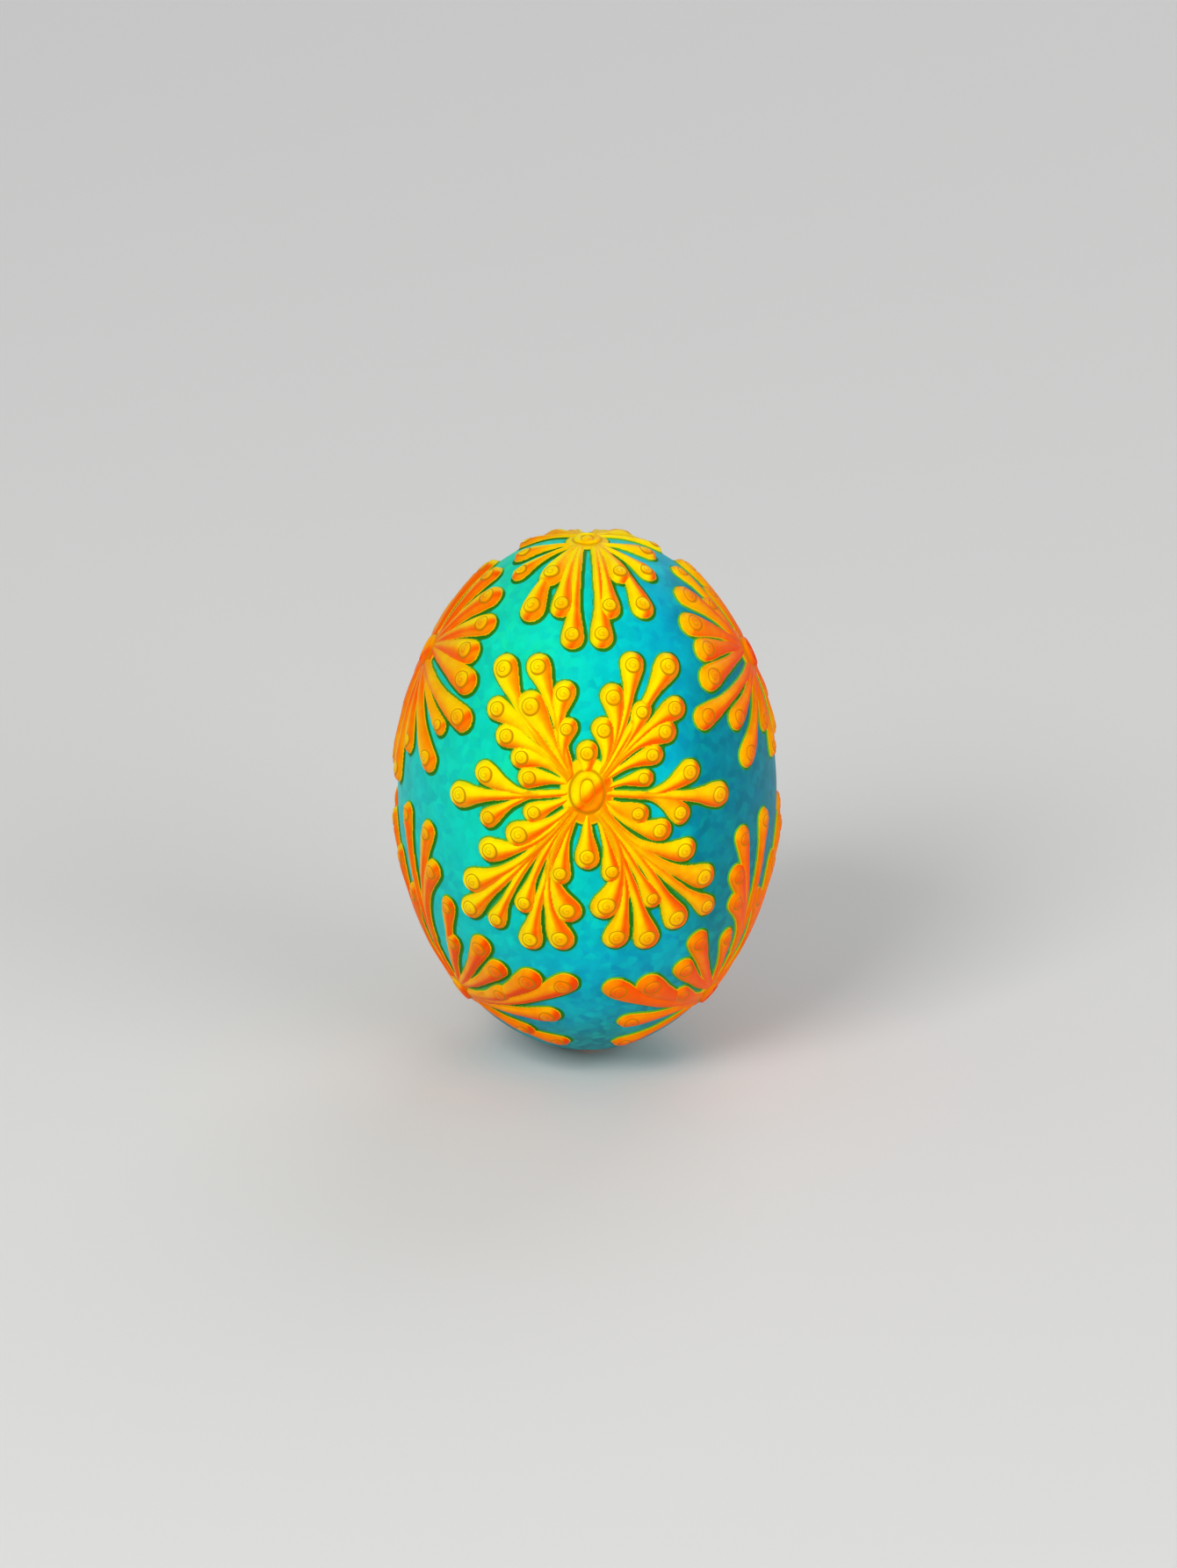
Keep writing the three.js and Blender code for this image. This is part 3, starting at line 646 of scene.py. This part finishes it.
    pressed = finish.outputs["Geometry"]
    pressed = wiring.store(pressed, "warmth", given["Warmth"])
    x_share, y_share, radius = wiring.split(wiring.named("head_at", "FLOAT_VECTOR"))
    from_centre = wiring.vector("LENGTH", wiring.join(x_share, y_share, 0.0))
    off_ring = wiring.times(wiring.minus(from_centre, RING_SHARE), radius)
    off_ring = wiring.over(off_ring, given["Ring width"])
    groove = wiring.math("EXPONENT", wiring.times(wiring.times(off_ring, off_ring), -1.0))
    swirl = swirl_share(wiring, x_share, y_share, from_centre)
    groove = wiring.math("MAXIMUM", groove, wiring.times(swirl, 0.5))
    groove = wiring.times(groove, given["Ring depth"])
    height = wiring.minus(wiring.named("height"), groove)
    relief = closed_relief(wiring, given, pressed, height)
    end_tree(wiring, in_metres(wiring, relief, given["Girth level"]), given["Material"])
    return tree


def boss_tree():
    """The oval centre of a rosette: a raised ring, a groove and a dome, in one pool of wax."""
    inputs = {**RELIEF_INPUTS, "Half size": "vector", "Rise": "float"}
    tree, wiring, given = new_tree("rosette_boss", inputs)
    patch = patch_on_shell(wiring, given)
    flat = wiring.named("flat", "FLOAT_VECTOR")
    half_width, half_height, _ = wiring.split(given["Half size"])
    x, y, _ = wiring.split(flat)
    oval = wiring.join(wiring.over(x, half_width), wiring.over(y, half_height), 0.0)
    inward = wiring.remap(wiring.vector("LENGTH", oval), 0.85, 0.45)
    narrowing = wiring.join(wiring.times_plus(inward, DOME_NARROWING, 1.0), 1.0, 1.0)
    share = wiring.vector("LENGTH", wiring.vector("MULTIPLY", oval, narrowing))
    profile = wiring.add("ShaderNodeFloatCurve", {"Value": wiring.over(share, BOSS_APRON)})
    points = profile.mapping.curves[0].points
    for place, level in BOSS_PROFILE[1:-1]:
        points.new(place / BOSS_APRON, level)
    points[0].location = (0, BOSS_PROFILE[0][1])
    points[len(points) - 1].location = (1, BOSS_PROFILE[-1][1])
    profile.mapping.update()
    height = wiring.times_plus(profile.outputs[0], given["Rise"], -0.14)
    # side on a boss: towards its lower right, for its painted light and shade.
    held = wiring.store(patch, "side", wiring.times(wiring.minus(x, y), 0.4))
    held = wiring.store(held, "oval_share", share)
    held = wiring.store(held, "head_at", wiring.join(*NO_HEAD), "FLOAT_VECTOR")
    held = wiring.store(held, "second", -1.0)
    held = wiring.store(held, "height", height)
    held = wiring.store(held, "warmth", given["Warmth"])
    relief = closed_relief(wiring, given, held, wiring.named("height"))
    end_tree(wiring, in_metres(wiring, relief, given["Girth level"]), given["Material"])
    return tree


def fanned(root, bearing, boss):
    """A stroke's own foot: a little round the boss from the spray's root, towards its head."""
    aside = (bearing - root[0] + 180) % 360 - 180
    foot = root[0] + FOOT_SPREAD * aside
    half_width, half_height = boss
    side, rise = polar(foot, 1)
    boss_edge = 1 / math.hypot(side / half_width, rise / half_height)
    return foot, boss_edge + FOOT_CLEARANCE


def stroke_path(drop, foot, fork):
    """The flat guide of one stroke, from the middle of its head to its foot. The side strokes of a
    forked spray swing in past the fork and end halfway down the stem."""
    bearing, reach, _, bow = drop
    head = polar(bearing, reach)
    foot = polar(*foot)
    run = foot - head
    clockwise = Vector((-run.y, run.x)).normalized()
    bend = polar(*fork) if fork else (head + foot) / 2 + clockwise * 2 * bow
    path = []
    for station in range(STATIONS):
        share = station / (STATIONS - 1)
        path.append(head * (1 - share) ** 2 + bend * 2 * share * (1 - share) + foot * share ** 2)
    return path


def give(mesh, label, values, kind="FLOAT"):
    """Gives a mesh's points a named value each."""
    field = "vector" if kind == "FLOAT_VECTOR" else "value"
    mesh.attributes.new(label, kind, "POINT").data.foreach_set(field, values)


def guide_mesh(name, rosette, strokes):
    """The guides of a spray on the shell, as edges with each stroke's number and head radius."""
    points, edges, numbers, radii, rings, ring_places = [], [], [], [], [], []
    for number, (radius, path) in enumerate(strokes):
        tailward = (path[1] - path[0]).normalized()
        ring = path[0] + tailward * RING_OFFSET * radius
        ring_place = rosette.on_shell(ring)
        for station, flat in enumerate(path):
            if station:
                edges.append((len(points) - 1, len(points)))
            points.append(rosette.on_shell(flat))
            numbers.append(number)
            radii.append(radius)
            rings.extend((ring.x, ring.y, 0.0))
            ring_places.extend(ring_place)
    mesh = bpy.data.meshes.new(name + "_guides")
    mesh.from_pydata(points, edges, [])
    give(mesh, "ring", rings, "FLOAT_VECTOR")
    give(mesh, "ring_place", ring_places, "FLOAT_VECTOR")
    give(mesh, "stroke", numbers, "INT")
    give(mesh, "head_radius", radii)
    return mesh


def relief_values(rosette, low, high, warmth, material):
    return {
        "Centre": rosette.centre, "Up": rosette.up, "East": rosette.east, "North": rosette.north,
        "Patch middle": Vector(((low.x + high.x) / 2, (low.y + high.y) / 2, 0)),
        "Patch size": Vector((high.x - low.x, high.y - low.y, 0)),
        "Mesh step": MESH_STEP, "Ball radius": BALL_RADIUS, "Girth radius": GIRTH_RADIUS,
        "Upper height": UPPER_HEIGHT, "Lower height": LOWER_HEIGHT, "Girth level": GIRTH_LEVEL,
        "Foot width": 0.38, "Warmth": warmth, "Material": material,
    }


def wax_spray(name, rosette, design, boss, warmth, fullness, material):
    strokes = []
    root = design["root"]
    fork = design["fork"]
    for number, drop in enumerate(design["drops"]):
        if fork and number:
            foot = (fork[0] + root[0]) / 2, (fork[1] + root[1]) / 2
            strokes.append((drop[2], stroke_path(drop, foot, fork)))
        else:
            strokes.append((drop[2], stroke_path(drop, fanned(root, drop[0], boss), None)))
    reach = max(radius for radius, _ in strokes) + PATCH_MARGIN
    flats = [flat for _, path in strokes for flat in path]
    low = Vector((min(flat.x for flat in flats) - reach, min(flat.y for flat in flats) - reach))
    high = Vector((max(flat.x for flat in flats) + reach, max(flat.y for flat in flats) + reach))
    values = relief_values(rosette, low, high, warmth, material)
    values.update({
        "Strokes": len(strokes), "Stations": STATIONS, "Ring depth": 0.14, "Ring width": 0.11,
        "Wobble": 0.2, "Melt": 0.12, "Tail fullness": fullness,
    })
    return built_piece(name, SPRAY_TREE, values, guide_mesh(name, rosette, strokes))


def wax_boss(name, rosette, half_size, warmth, material):
    edge = Vector(half_size) * BOSS_APRON
    values = relief_values(rosette, -edge, edge, warmth, material)
    values["Half size"] = Vector((*half_size, 0))
    values["Rise"] = min(1.0, half_size[1] / 2 + 0.05)
    return built_piece(name, BOSS_TREE, values)


# ---- the seal ----
def wax_button(name, node, material):
    """A dropped wax button that closes the blow hole: a rounded cap with a stem up the hole."""
    low, high = (Vector(corner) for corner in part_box(node))
    radius = (high.x - low.x) / 2
    cap_rise = (SHELL_BOTTOM + CAP_LAP) * MM
    turns = 96
    stem = STEM_SHARE * radius
    rounding = 0.1 * MM
    profile = [(0, high.z), (stem, high.z - rounding), (stem, cap_rise + rounding)]
    for step in range(13):
        angle = math.radians(90 - 15 * step)
        out = 0.86 + 0.14 * math.cos(angle)
        profile.append((out * radius, low.z + cap_rise * (0.5 + 0.5 * math.sin(angle))))
    profile.append((0, low.z))
    points, faces = [], []
    for share, (reach, level) in enumerate(profile):
        for turn in range(turns):
            angle = 2 * math.pi * turn / turns
            uneven = 1 + 0.012 * math.sin(3 * angle + 1) + 0.008 * math.sin(7 * angle)
            points.append((reach * uneven * math.cos(angle), reach * uneven * math.sin(angle), level))
            if share:
                start = share * turns
                beside = (turn + 1) % turns
                above = start - turns
                faces.append((above + turn, start + turn, start + beside, above + beside))
    mesh = bpy.data.meshes.new(name)
    mesh.from_pydata(points, [], faces)
    shape = bmesh.new()
    shape.from_mesh(mesh)
    bmesh.ops.remove_doubles(shape, verts=shape.verts, dist=0.001 * MM)
    bmesh.ops.recalc_face_normals(shape, faces=shape.faces)
    shape.to_mesh(mesh)
    shape.free()
    mesh.shade_smooth()
    count = len(mesh.vertices)
    for label, value in [("wax_height", 0.6), ("height", 1.0), ("second", -1.0), ("warmth", 0.4)]:
        give(mesh, label, [value] * count)
    give(mesh, "head_at", NO_HEAD * count, "FLOAT_VECTOR")
    mesh.materials.append(material)
    button = bpy.data.objects.new(name, mesh)
    bpy.context.scene.collection.objects.link(button)
    return button


# ---- finishes ----
# Painted light and shade across a stroke, from its upper left to its lower right: how far its hue
# goes from yellow, the painted light, to red, the painted shade.
PAINTED_FLANK_SHADING = [(0.0, 0.15), (0.2, 0.0), (0.46, 0.2), (0.62, 0.65), (0.8, 1.0), (0.98, 0.7)]
WAX_HUES = [
    (0.0, (1.0, 0.88, 0.0)), (0.18, (1.0, 0.72, 0.0)), (0.35, (1.0, 0.46, 0.0)),
    (0.52, (1.0, 0.27, 0.0)), (0.7, (1.0, 0.13, 0.0)), (1.0, (0.92, 0.06, 0.0)),
]
# Painted shade in the rings and swirls, the grooves of a boss and the creases between strokes.
RING_SHADE_BROWN = (0.52, 0.19, 0.0, 1)
GROOVE_SHADE_BROWN = (0.60, 0.24, 0.0, 1)
CREASE_SHADE_ORANGE = (0.80, 0.22, 0.0, 1)
# A painted highlight low on the wax's sides.
EDGE_HIGHLIGHT_YELLOW = (0.92, 0.66, 0.0, 1)
# The painted shadow round the wax's foot: dark at the lower right, lighter at the upper left, where
# painted light falls, and fading at its very edge.
FOOT_SHADOW_GREEN = (0.012, 0.19, 0.008, 1)
FOOT_LIT_GREEN = (0.12, 0.46, 0.02, 1)
FOOT_SHADOW_FADE = (0.0, 0.33, 0.14, 1)

# The dye from left to right, above and below: bluer towards the right, where it also darkens as
# painted shade. Below, it is darker and bluer.
UPPER_DYE_AND_SHADE = [
    (0.0, (0.0, 0.55, 0.52)), (0.3, (0.006, 0.82, 0.42)), (0.5, (0.002, 0.66, 0.52)),
    (0.7, (0.0, 0.39, 0.57)), (0.8, (0.0, 0.18, 0.26)), (1.0, (0.0, 0.15, 0.22)),
]
LOWER_DYE_AND_SHADE = [
    (0.0, (0.0, 0.56, 0.54)), (0.4, (0.0, 0.39, 0.62)), (0.6, (0.0, 0.32, 0.54)),
    (0.8, (0.0, 0.17, 0.20)), (1.0, (0.0, 0.14, 0.17)),
]
FINE_MOTTLE = [(0.3, (0.30, 0.42, 0.44)), (0.7, (0.66, 0.62, 0.60))]
FOOT_DYE = (0.0, 0.19, 0.23, 1)
BRIGHT_DAB = (0.0, 0.85, 0.66, 1)
BLUE_DAB = (0.0, 0.20, 0.42, 1)


def new_finish(name):
    material = bpy.data.materials.new(name)
    material.use_nodes = True
    material.node_tree.nodes.clear()
    wiring = Wiring(material.node_tree)
    shader = wiring.add("ShaderNodeBsdfPrincipled")
    wiring.add("ShaderNodeOutputMaterial", {"Surface": shader.outputs[0]})
    return material, wiring, shader


def surfaced(wiring, shader, colour, relief, strength, values):
    """Gives a shader its colour, its fine relief, and the values that are the same all over."""
    wiring.feed(shader.inputs["Base Color"], colour)
    inputs = {"Height": relief, "Distance": 0.08 * MM, "Strength": strength}
    wiring.feed(shader.inputs["Normal"], wiring.made("ShaderNodeBump", inputs))
    for name, value in values.items():
        shader.inputs[name].default_value = value


def mixed(wiring, share, first, second, blend="MIX"):
    inputs = {0: share, 6: first, 7: second}
    return wiring.add("ShaderNodeMix", inputs, data_type="RGBA", blend_type=blend).outputs[2]


def ramp(wiring, share, stops):
    node = wiring.add("ShaderNodeValToRGB", {0: share})
    elements = node.color_ramp.elements
    while len(elements) < len(stops):
        elements.new(0.5)
    for element, (place, colour) in zip(elements, stops):
        element.position = place
        element.color = (*colour, 1)
    return node.outputs[0]


def attribute(wiring, name):
    return wiring.add("ShaderNodeAttribute", attribute_name=name).outputs


def place_on_egg(wiring):
    """A point's place, and its x, y and z from the egg's middle as shares of the girth's radius."""
    place = wiring.add("ShaderNodeTexCoord").outputs["Object"]
    middle = wiring.vector("SUBTRACT", place, (0.0, 0.0, GIRTH_LEVEL * MM))
    x, y, z = wiring.split(wiring.scaled(middle, 1 / (GIRTH_RADIUS * MM)))
    return place, x, y, z


def dyed_shell_finish():
    """Turquoise dye, mottled, bluer towards the right and darker and bluer towards the foot; its
    darkening towards the right is painted shade.
    """
    material, wiring, shader = new_finish("turquoise_dye")
    place, x, _, z = place_on_egg(wiring)
    drift = wiring.minus(wiring.noise(place, 90.0, 3.0), 0.5)
    across = wiring.times_plus(drift, 0.5, x)
    down = wiring.times_plus(drift, -0.6, z)
    across_share = wiring.remap(across, -1.0, 1.0, smooth=False)
    # Across: the dye drifts from green to blue, and darkens to the right as painted shade.
    upper_dye_and_shade = ramp(wiring, across_share, UPPER_DYE_AND_SHADE)
    lower_dye_and_shade = ramp(wiring, across_share, LOWER_DYE_AND_SHADE)
    ground = mixed(wiring, wiring.remap(down, 0.6, -1.2), upper_dye_and_shade, lower_dye_and_shade)
    ground = mixed(wiring, wiring.remap(down, -0.75, -1.3), ground, FOOT_DYE)
    swept = wiring.noise(place, 500.0, 2.0, "Color")
    dabs = wiring.add("ShaderNodeTexVoronoi", {
        "Vector": wiring.vector("ADD", place, wiring.scaled(swept, 0.0012)),
        "Scale": 1000.0, "Smoothness": 0.45,
    }, feature="SMOOTH_F1")
    tone, second_tone, _ = wiring.split(dabs.outputs["Color"])
    lightening = wiring.times(tone, wiring.remap(across, 0.2, 0.75, 0.34, 0.14))
    ground = mixed(wiring, lightening, ground, BRIGHT_DAB)
    ground = mixed(wiring, wiring.times(second_tone, 0.28), ground, BLUE_DAB)
    fine = wiring.noise(place, 420.0, 5.0)
    ground = mixed(wiring, 0.5, ground, ramp(wiring, fine, FINE_MOTTLE), "OVERLAY")
    pores = wiring.add("ShaderNodeTexVoronoi", {"Vector": place, "Scale": 2600.0}).outputs["Distance"]
    relief = wiring.times_plus(wiring.remap(pores, 0.0, 0.22), 0.35, fine)
    surfaced(wiring, shader, ground, relief, 0.5, {
        "Roughness": 0.48, "Specular IOR Level": 0.2, "Specular Tint": (0.05, 1.0, 0.9, 1),
    })
    return material


def across_head(wiring):
    """A point's x and y from its head's ring, its distance from there, and the radius of the head:
    the first three as shares of that radius."""
    x, y, radius = wiring.split(attribute(wiring, "head_at")["Vector"])
    return x, y, wiring.vector("LENGTH", wiring.join(x, y, 0.0)), radius


def wax_colour(wiring, place, x, z, from_boss, contrast, brushed):
    """The wax's hue: yellow on a stroke's upper left and red-orange on its lower right, as painted
    light and shade, and red-orange at a fan's root.
    """
    side = attribute(wiring, "side")["Fac"]
    warmth = attribute(wiring, "warmth")["Fac"]
    head_x, head_y, from_ring, _ = across_head(wiring)
    in_ring = wiring.remap(from_ring, RING_SHARE + 0.04, RING_SHARE - 0.06)
    # Painted light and shade on a stroke's flanks: yellow at the upper left, red at the lower right.
    flank = ramp(wiring, wiring.remap(side, -0.7, 0.7, smooth=False), [
        (stop, (shade, shade, shade)) for stop, shade in PAINTED_FLANK_SHADING
    ])
    # Inside a head's ring, the painted shade runs across the disc instead: yellower at the upper
    # left, redder at the lower right.
    disc = wiring.times_plus(wiring.minus(head_x, head_y), 0.28, 0.25)
    flank = wiring.times(flank, wiring.minus(1.0, in_ring))
    flank = wiring.times_plus(disc, in_ring, flank)
    rootward = wiring.remap(from_boss, 2.0, 12.0, 0.55, -0.15)
    rootward = wiring.times(rootward, wiring.remap(z, -0.4, 0.2))
    hue = wiring.times_plus(rootward, warmth, warmth)
    # A painted highlight: yellower along a stroke's upper-left edge.
    lit_edge = wiring.remap(side, -0.4, -0.95)
    hue = wiring.times_plus(lit_edge, wiring.times(warmth, -0.5), hue)
    # The painted flank shade is weaker at the far left of the egg.
    flank_share = wiring.times(wiring.remap(x, -0.95, -0.4, 0.6, 0.95), contrast)
    hue = wiring.times_plus(flank, flank_share, hue)
    # Painted shade over the whole egg: redder towards the right and the foot, yellower at the upper
    # left.
    hue = wiring.times_plus(x, 0.18, hue)
    hue = wiring.times_plus(z, -0.1, hue)
    streaks = wiring.times_plus(in_ring, 0.3, 0.35)
    hue = wiring.times_plus(wiring.minus(brushed, 0.5), streaks, hue)
    hue = wiring.times_plus(wiring.minus(wiring.noise(place, 200.0, 2.0), 0.5), 0.5, hue)
    return ramp(wiring, wiring.remap(hue, -0.15, 1.35, smooth=False), WAX_HUES)


def with_marks(wiring, colour, contrast):
    """Paints shade into the rings and swirls pressed into the heads, heavier at their lower right,
    into the creases between strokes, and into the groove and the moat of a boss.
    """
    head_x, head_y, from_ring, radius = across_head(wiring)
    # Painted shade in the ring groove, wider at the lower right, and in the swirl.
    line_width = wiring.remap(wiring.minus(head_x, head_y), -0.6, 0.6, 0.05, 0.12)
    off_line = wiring.times(wiring.math("ABSOLUTE", wiring.minus(from_ring, RING_SHARE)), radius)
    ring_groove_shade = wiring.remap(wiring.over(off_line, line_width), 1.7, 0.4)
    swirl = wiring.times(swirl_share(wiring, head_x, head_y, from_ring), 0.6)
    ring_and_swirl_shade = wiring.times(wiring.math("MAXIMUM", ring_groove_shade, swirl), 0.85)
    colour = mixed(wiring, ring_and_swirl_shade, colour, RING_SHADE_BROWN)
    second = attribute(wiring, "second")["Fac"]
    # Painted shade in the creases where two strokes run together.
    crease_shade = wiring.remap(wiring.minus(attribute(wiring, "height")["Fac"], second), 0.12, 0.02)
    crease_shade = wiring.times(crease_shade, wiring.remap(second, 0.12, 0.2))
    crease_shade = wiring.times(crease_shade, wiring.remap(second, 0.5, 0.32, 0.35, 0.7))
    colour = mixed(wiring, wiring.times(crease_shade, contrast), colour, CREASE_SHADE_ORANGE)
    oval_share = attribute(wiring, "oval_share")["Fac"]
    # Painted shade in the boss's groove and its moat.
    for groove_place, half_width, depth in [(0.64, 0.08, 0.8), (1.1, 0.13, 0.85)]:
        off_groove_line = wiring.math("ABSOLUTE", wiring.minus(oval_share, groove_place))
        shade = wiring.times(wiring.remap(off_groove_line, half_width, 0.02), depth)
        colour = mixed(wiring, shade, colour, GROOVE_SHADE_BROWN)
    return colour


def with_edges(wiring, colour):
    """Paints a highlight low on the wax's sides, and a shadow on its thin foot: dark green at the
    lower right and lighter green at the upper left, where painted light falls.
    """
    level = attribute(wiring, "wax_height")["Fac"]
    side = attribute(wiring, "side")["Fac"]
    # A painted highlight, pale yellow, low on the wax's sides.
    colour = mixed(wiring, wiring.times(wiring.remap(level, 0.26, 0.15), 0.7), colour, EDGE_HIGHLIGHT_YELLOW)
    # A painted shadow on the wax's thin foot: dark green at the lower right, lighter green at the
    # upper left, fading at the very edge.
    painted_foot_shadow = mixed(wiring, wiring.remap(side, 0.4, -0.8), FOOT_SHADOW_GREEN, FOOT_LIT_GREEN)
    painted_foot_shadow = mixed(wiring, wiring.remap(level, 0.035, 0.0), painted_foot_shadow, FOOT_SHADOW_FADE)
    return mixed(wiring, wiring.remap(level, 0.14, 0.075), colour, painted_foot_shadow)


def pulled_wax_finish():
    material, wiring, shader = new_finish("pulled_wax")
    place, x, _, z = place_on_egg(wiring)
    brushed = wiring.noise(place, 900.0, 4.0)
    from_boss = wiring.vector("LENGTH", attribute(wiring, "flat")["Vector"])
    # Close to the top boss, the painted flank and crease shade is weaker.
    near_pole = wiring.remap(z, 1.1, 1.3)
    near_pole = wiring.times(near_pole, wiring.remap(from_boss, 9.0, 3.0, 0.0, 0.65))
    contrast = wiring.minus(1.0, near_pole)
    colour = wax_colour(wiring, place, x, z, from_boss, contrast, brushed)
    colour = with_edges(wiring, with_marks(wiring, colour, contrast))
    surfaced(wiring, shader, colour, brushed, 0.4, {
        "Roughness": 0.45, "IOR": 1.35, "Specular IOR Level": 0.22,
        "Specular Tint": (1.0, 0.72, 0.05, 1), "Subsurface Weight": 0.05,
        "Subsurface Radius": (0.001, 0.0005, 0.0002), "Subsurface Scale": 0.5,
    })
    return material


def keep_piece(piece, node):
    """Sets a finished piece in place of its solid."""
    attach(piece, "root")
    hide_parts(node)


wax_finish = pulled_wax_finish()
SPRAY_TREE = spray_tree()
BOSS_TREE = boss_tree()

keep_piece(built_piece("dyed_shell", shell_tree(), {
    "Girth radius": GIRTH_RADIUS, "Upper height": UPPER_HEIGHT, "Lower height": LOWER_HEIGHT,
    "Wall": WALL, "Blow hole radius": BLOW_HOLE_RADIUS, "Girth level": GIRTH_LEVEL,
    "Facets round": 220, "Facets up": 130, "Material": dyed_shell_finish(),
}), "eggshell")

for place, (turn, height, boss, sprays, warmth, fullness) in ROSETTES.items():
    rosette = Rosette(turn, height)
    node = place + "_boss"
    keep_piece(wax_boss(node + "_wax", rosette, boss, warmth, wax_finish), node)
    for spray, design in sprays.items():
        node = place + "_" + spray
        piece = wax_spray(node + "_wax", rosette, design, boss, warmth, fullness, wax_finish)
        keep_piece(piece, node)

keep_piece(wax_button("blow_hole_wax", "blow_hole_seal", wax_finish), "blow_hole_seal")

# ---- floor, light and camera ----
CAMERA_RISE = math.radians(22)
CAMERA_DISTANCE = 1.2
FRAME_HEIGHT = 0.1822   # how much height the view takes in at the egg
AIM_ABOVE = 0.0008      # the egg sits a little under the middle of the view
AIM_ASIDE = 0.00015


def plain_floor():
    bpy.ops.mesh.primitive_plane_add(size=8)
    floor = bpy.context.object
    floor.name = "floor"
    material, _, shader = new_finish("pale_floor")
    shader.inputs["Base Color"].default_value = (0.78, 0.77, 0.75, 1)
    shader.inputs["Roughness"].default_value = 0.8
    floor.data.materials.append(material)


def soft_light(name, place, size, power, target):
    light = bpy.data.lights.new(name, "AREA")
    light.size = size
    light.energy = power
    lamp = bpy.data.objects.new(name, light)
    lamp.location = place
    lamp.rotation_euler = (Vector(target) - Vector(place)).to_track_quat("-Z", "Y").to_euler()
    bpy.context.scene.collection.objects.link(lamp)


def set_camera(target):
    away = Vector((0, -math.cos(CAMERA_RISE), math.sin(CAMERA_RISE)))
    view_up = Vector((0, math.sin(CAMERA_RISE), math.cos(CAMERA_RISE)))
    aim = target + view_up * AIM_ABOVE + Vector((AIM_ASIDE, 0, 0))
    lens = bpy.data.cameras.new("camera")
    lens.sensor_width = 36
    lens.lens = 36 * CAMERA_DISTANCE / FRAME_HEIGHT
    lens.clip_end = 20
    camera = bpy.data.objects.new("camera", lens)
    camera.location = aim + away * CAMERA_DISTANCE
    camera.rotation_euler = (-away).to_track_quat("-Z", "Y").to_euler()
    bpy.context.scene.collection.objects.link(camera)
    bpy.context.scene.camera = camera


egg_middle = Vector((0, 0, GIRTH_LEVEL * MM))
plain_floor()
set_camera(egg_middle)
soft_light("key_light", (-0.5, -0.75, 0.75), 0.5, 6.6, egg_middle)
soft_light("fill_light", (0.7, -0.6, 0.35), 0.7, 3.7, egg_middle)
soft_light("back_light", (0.3, 0.8, 0.7), 0.6, 1.8, egg_middle)
world = bpy.data.worlds.new("studio")
world.use_nodes = True
world.node_tree.nodes["Background"].inputs["Color"].default_value = (0.9, 0.93, 0.96, 1)
world.node_tree.nodes["Background"].inputs["Strength"].default_value = 0.4
bpy.context.scene.world = world
bpy.context.scene.view_settings.view_transform = "Standard"
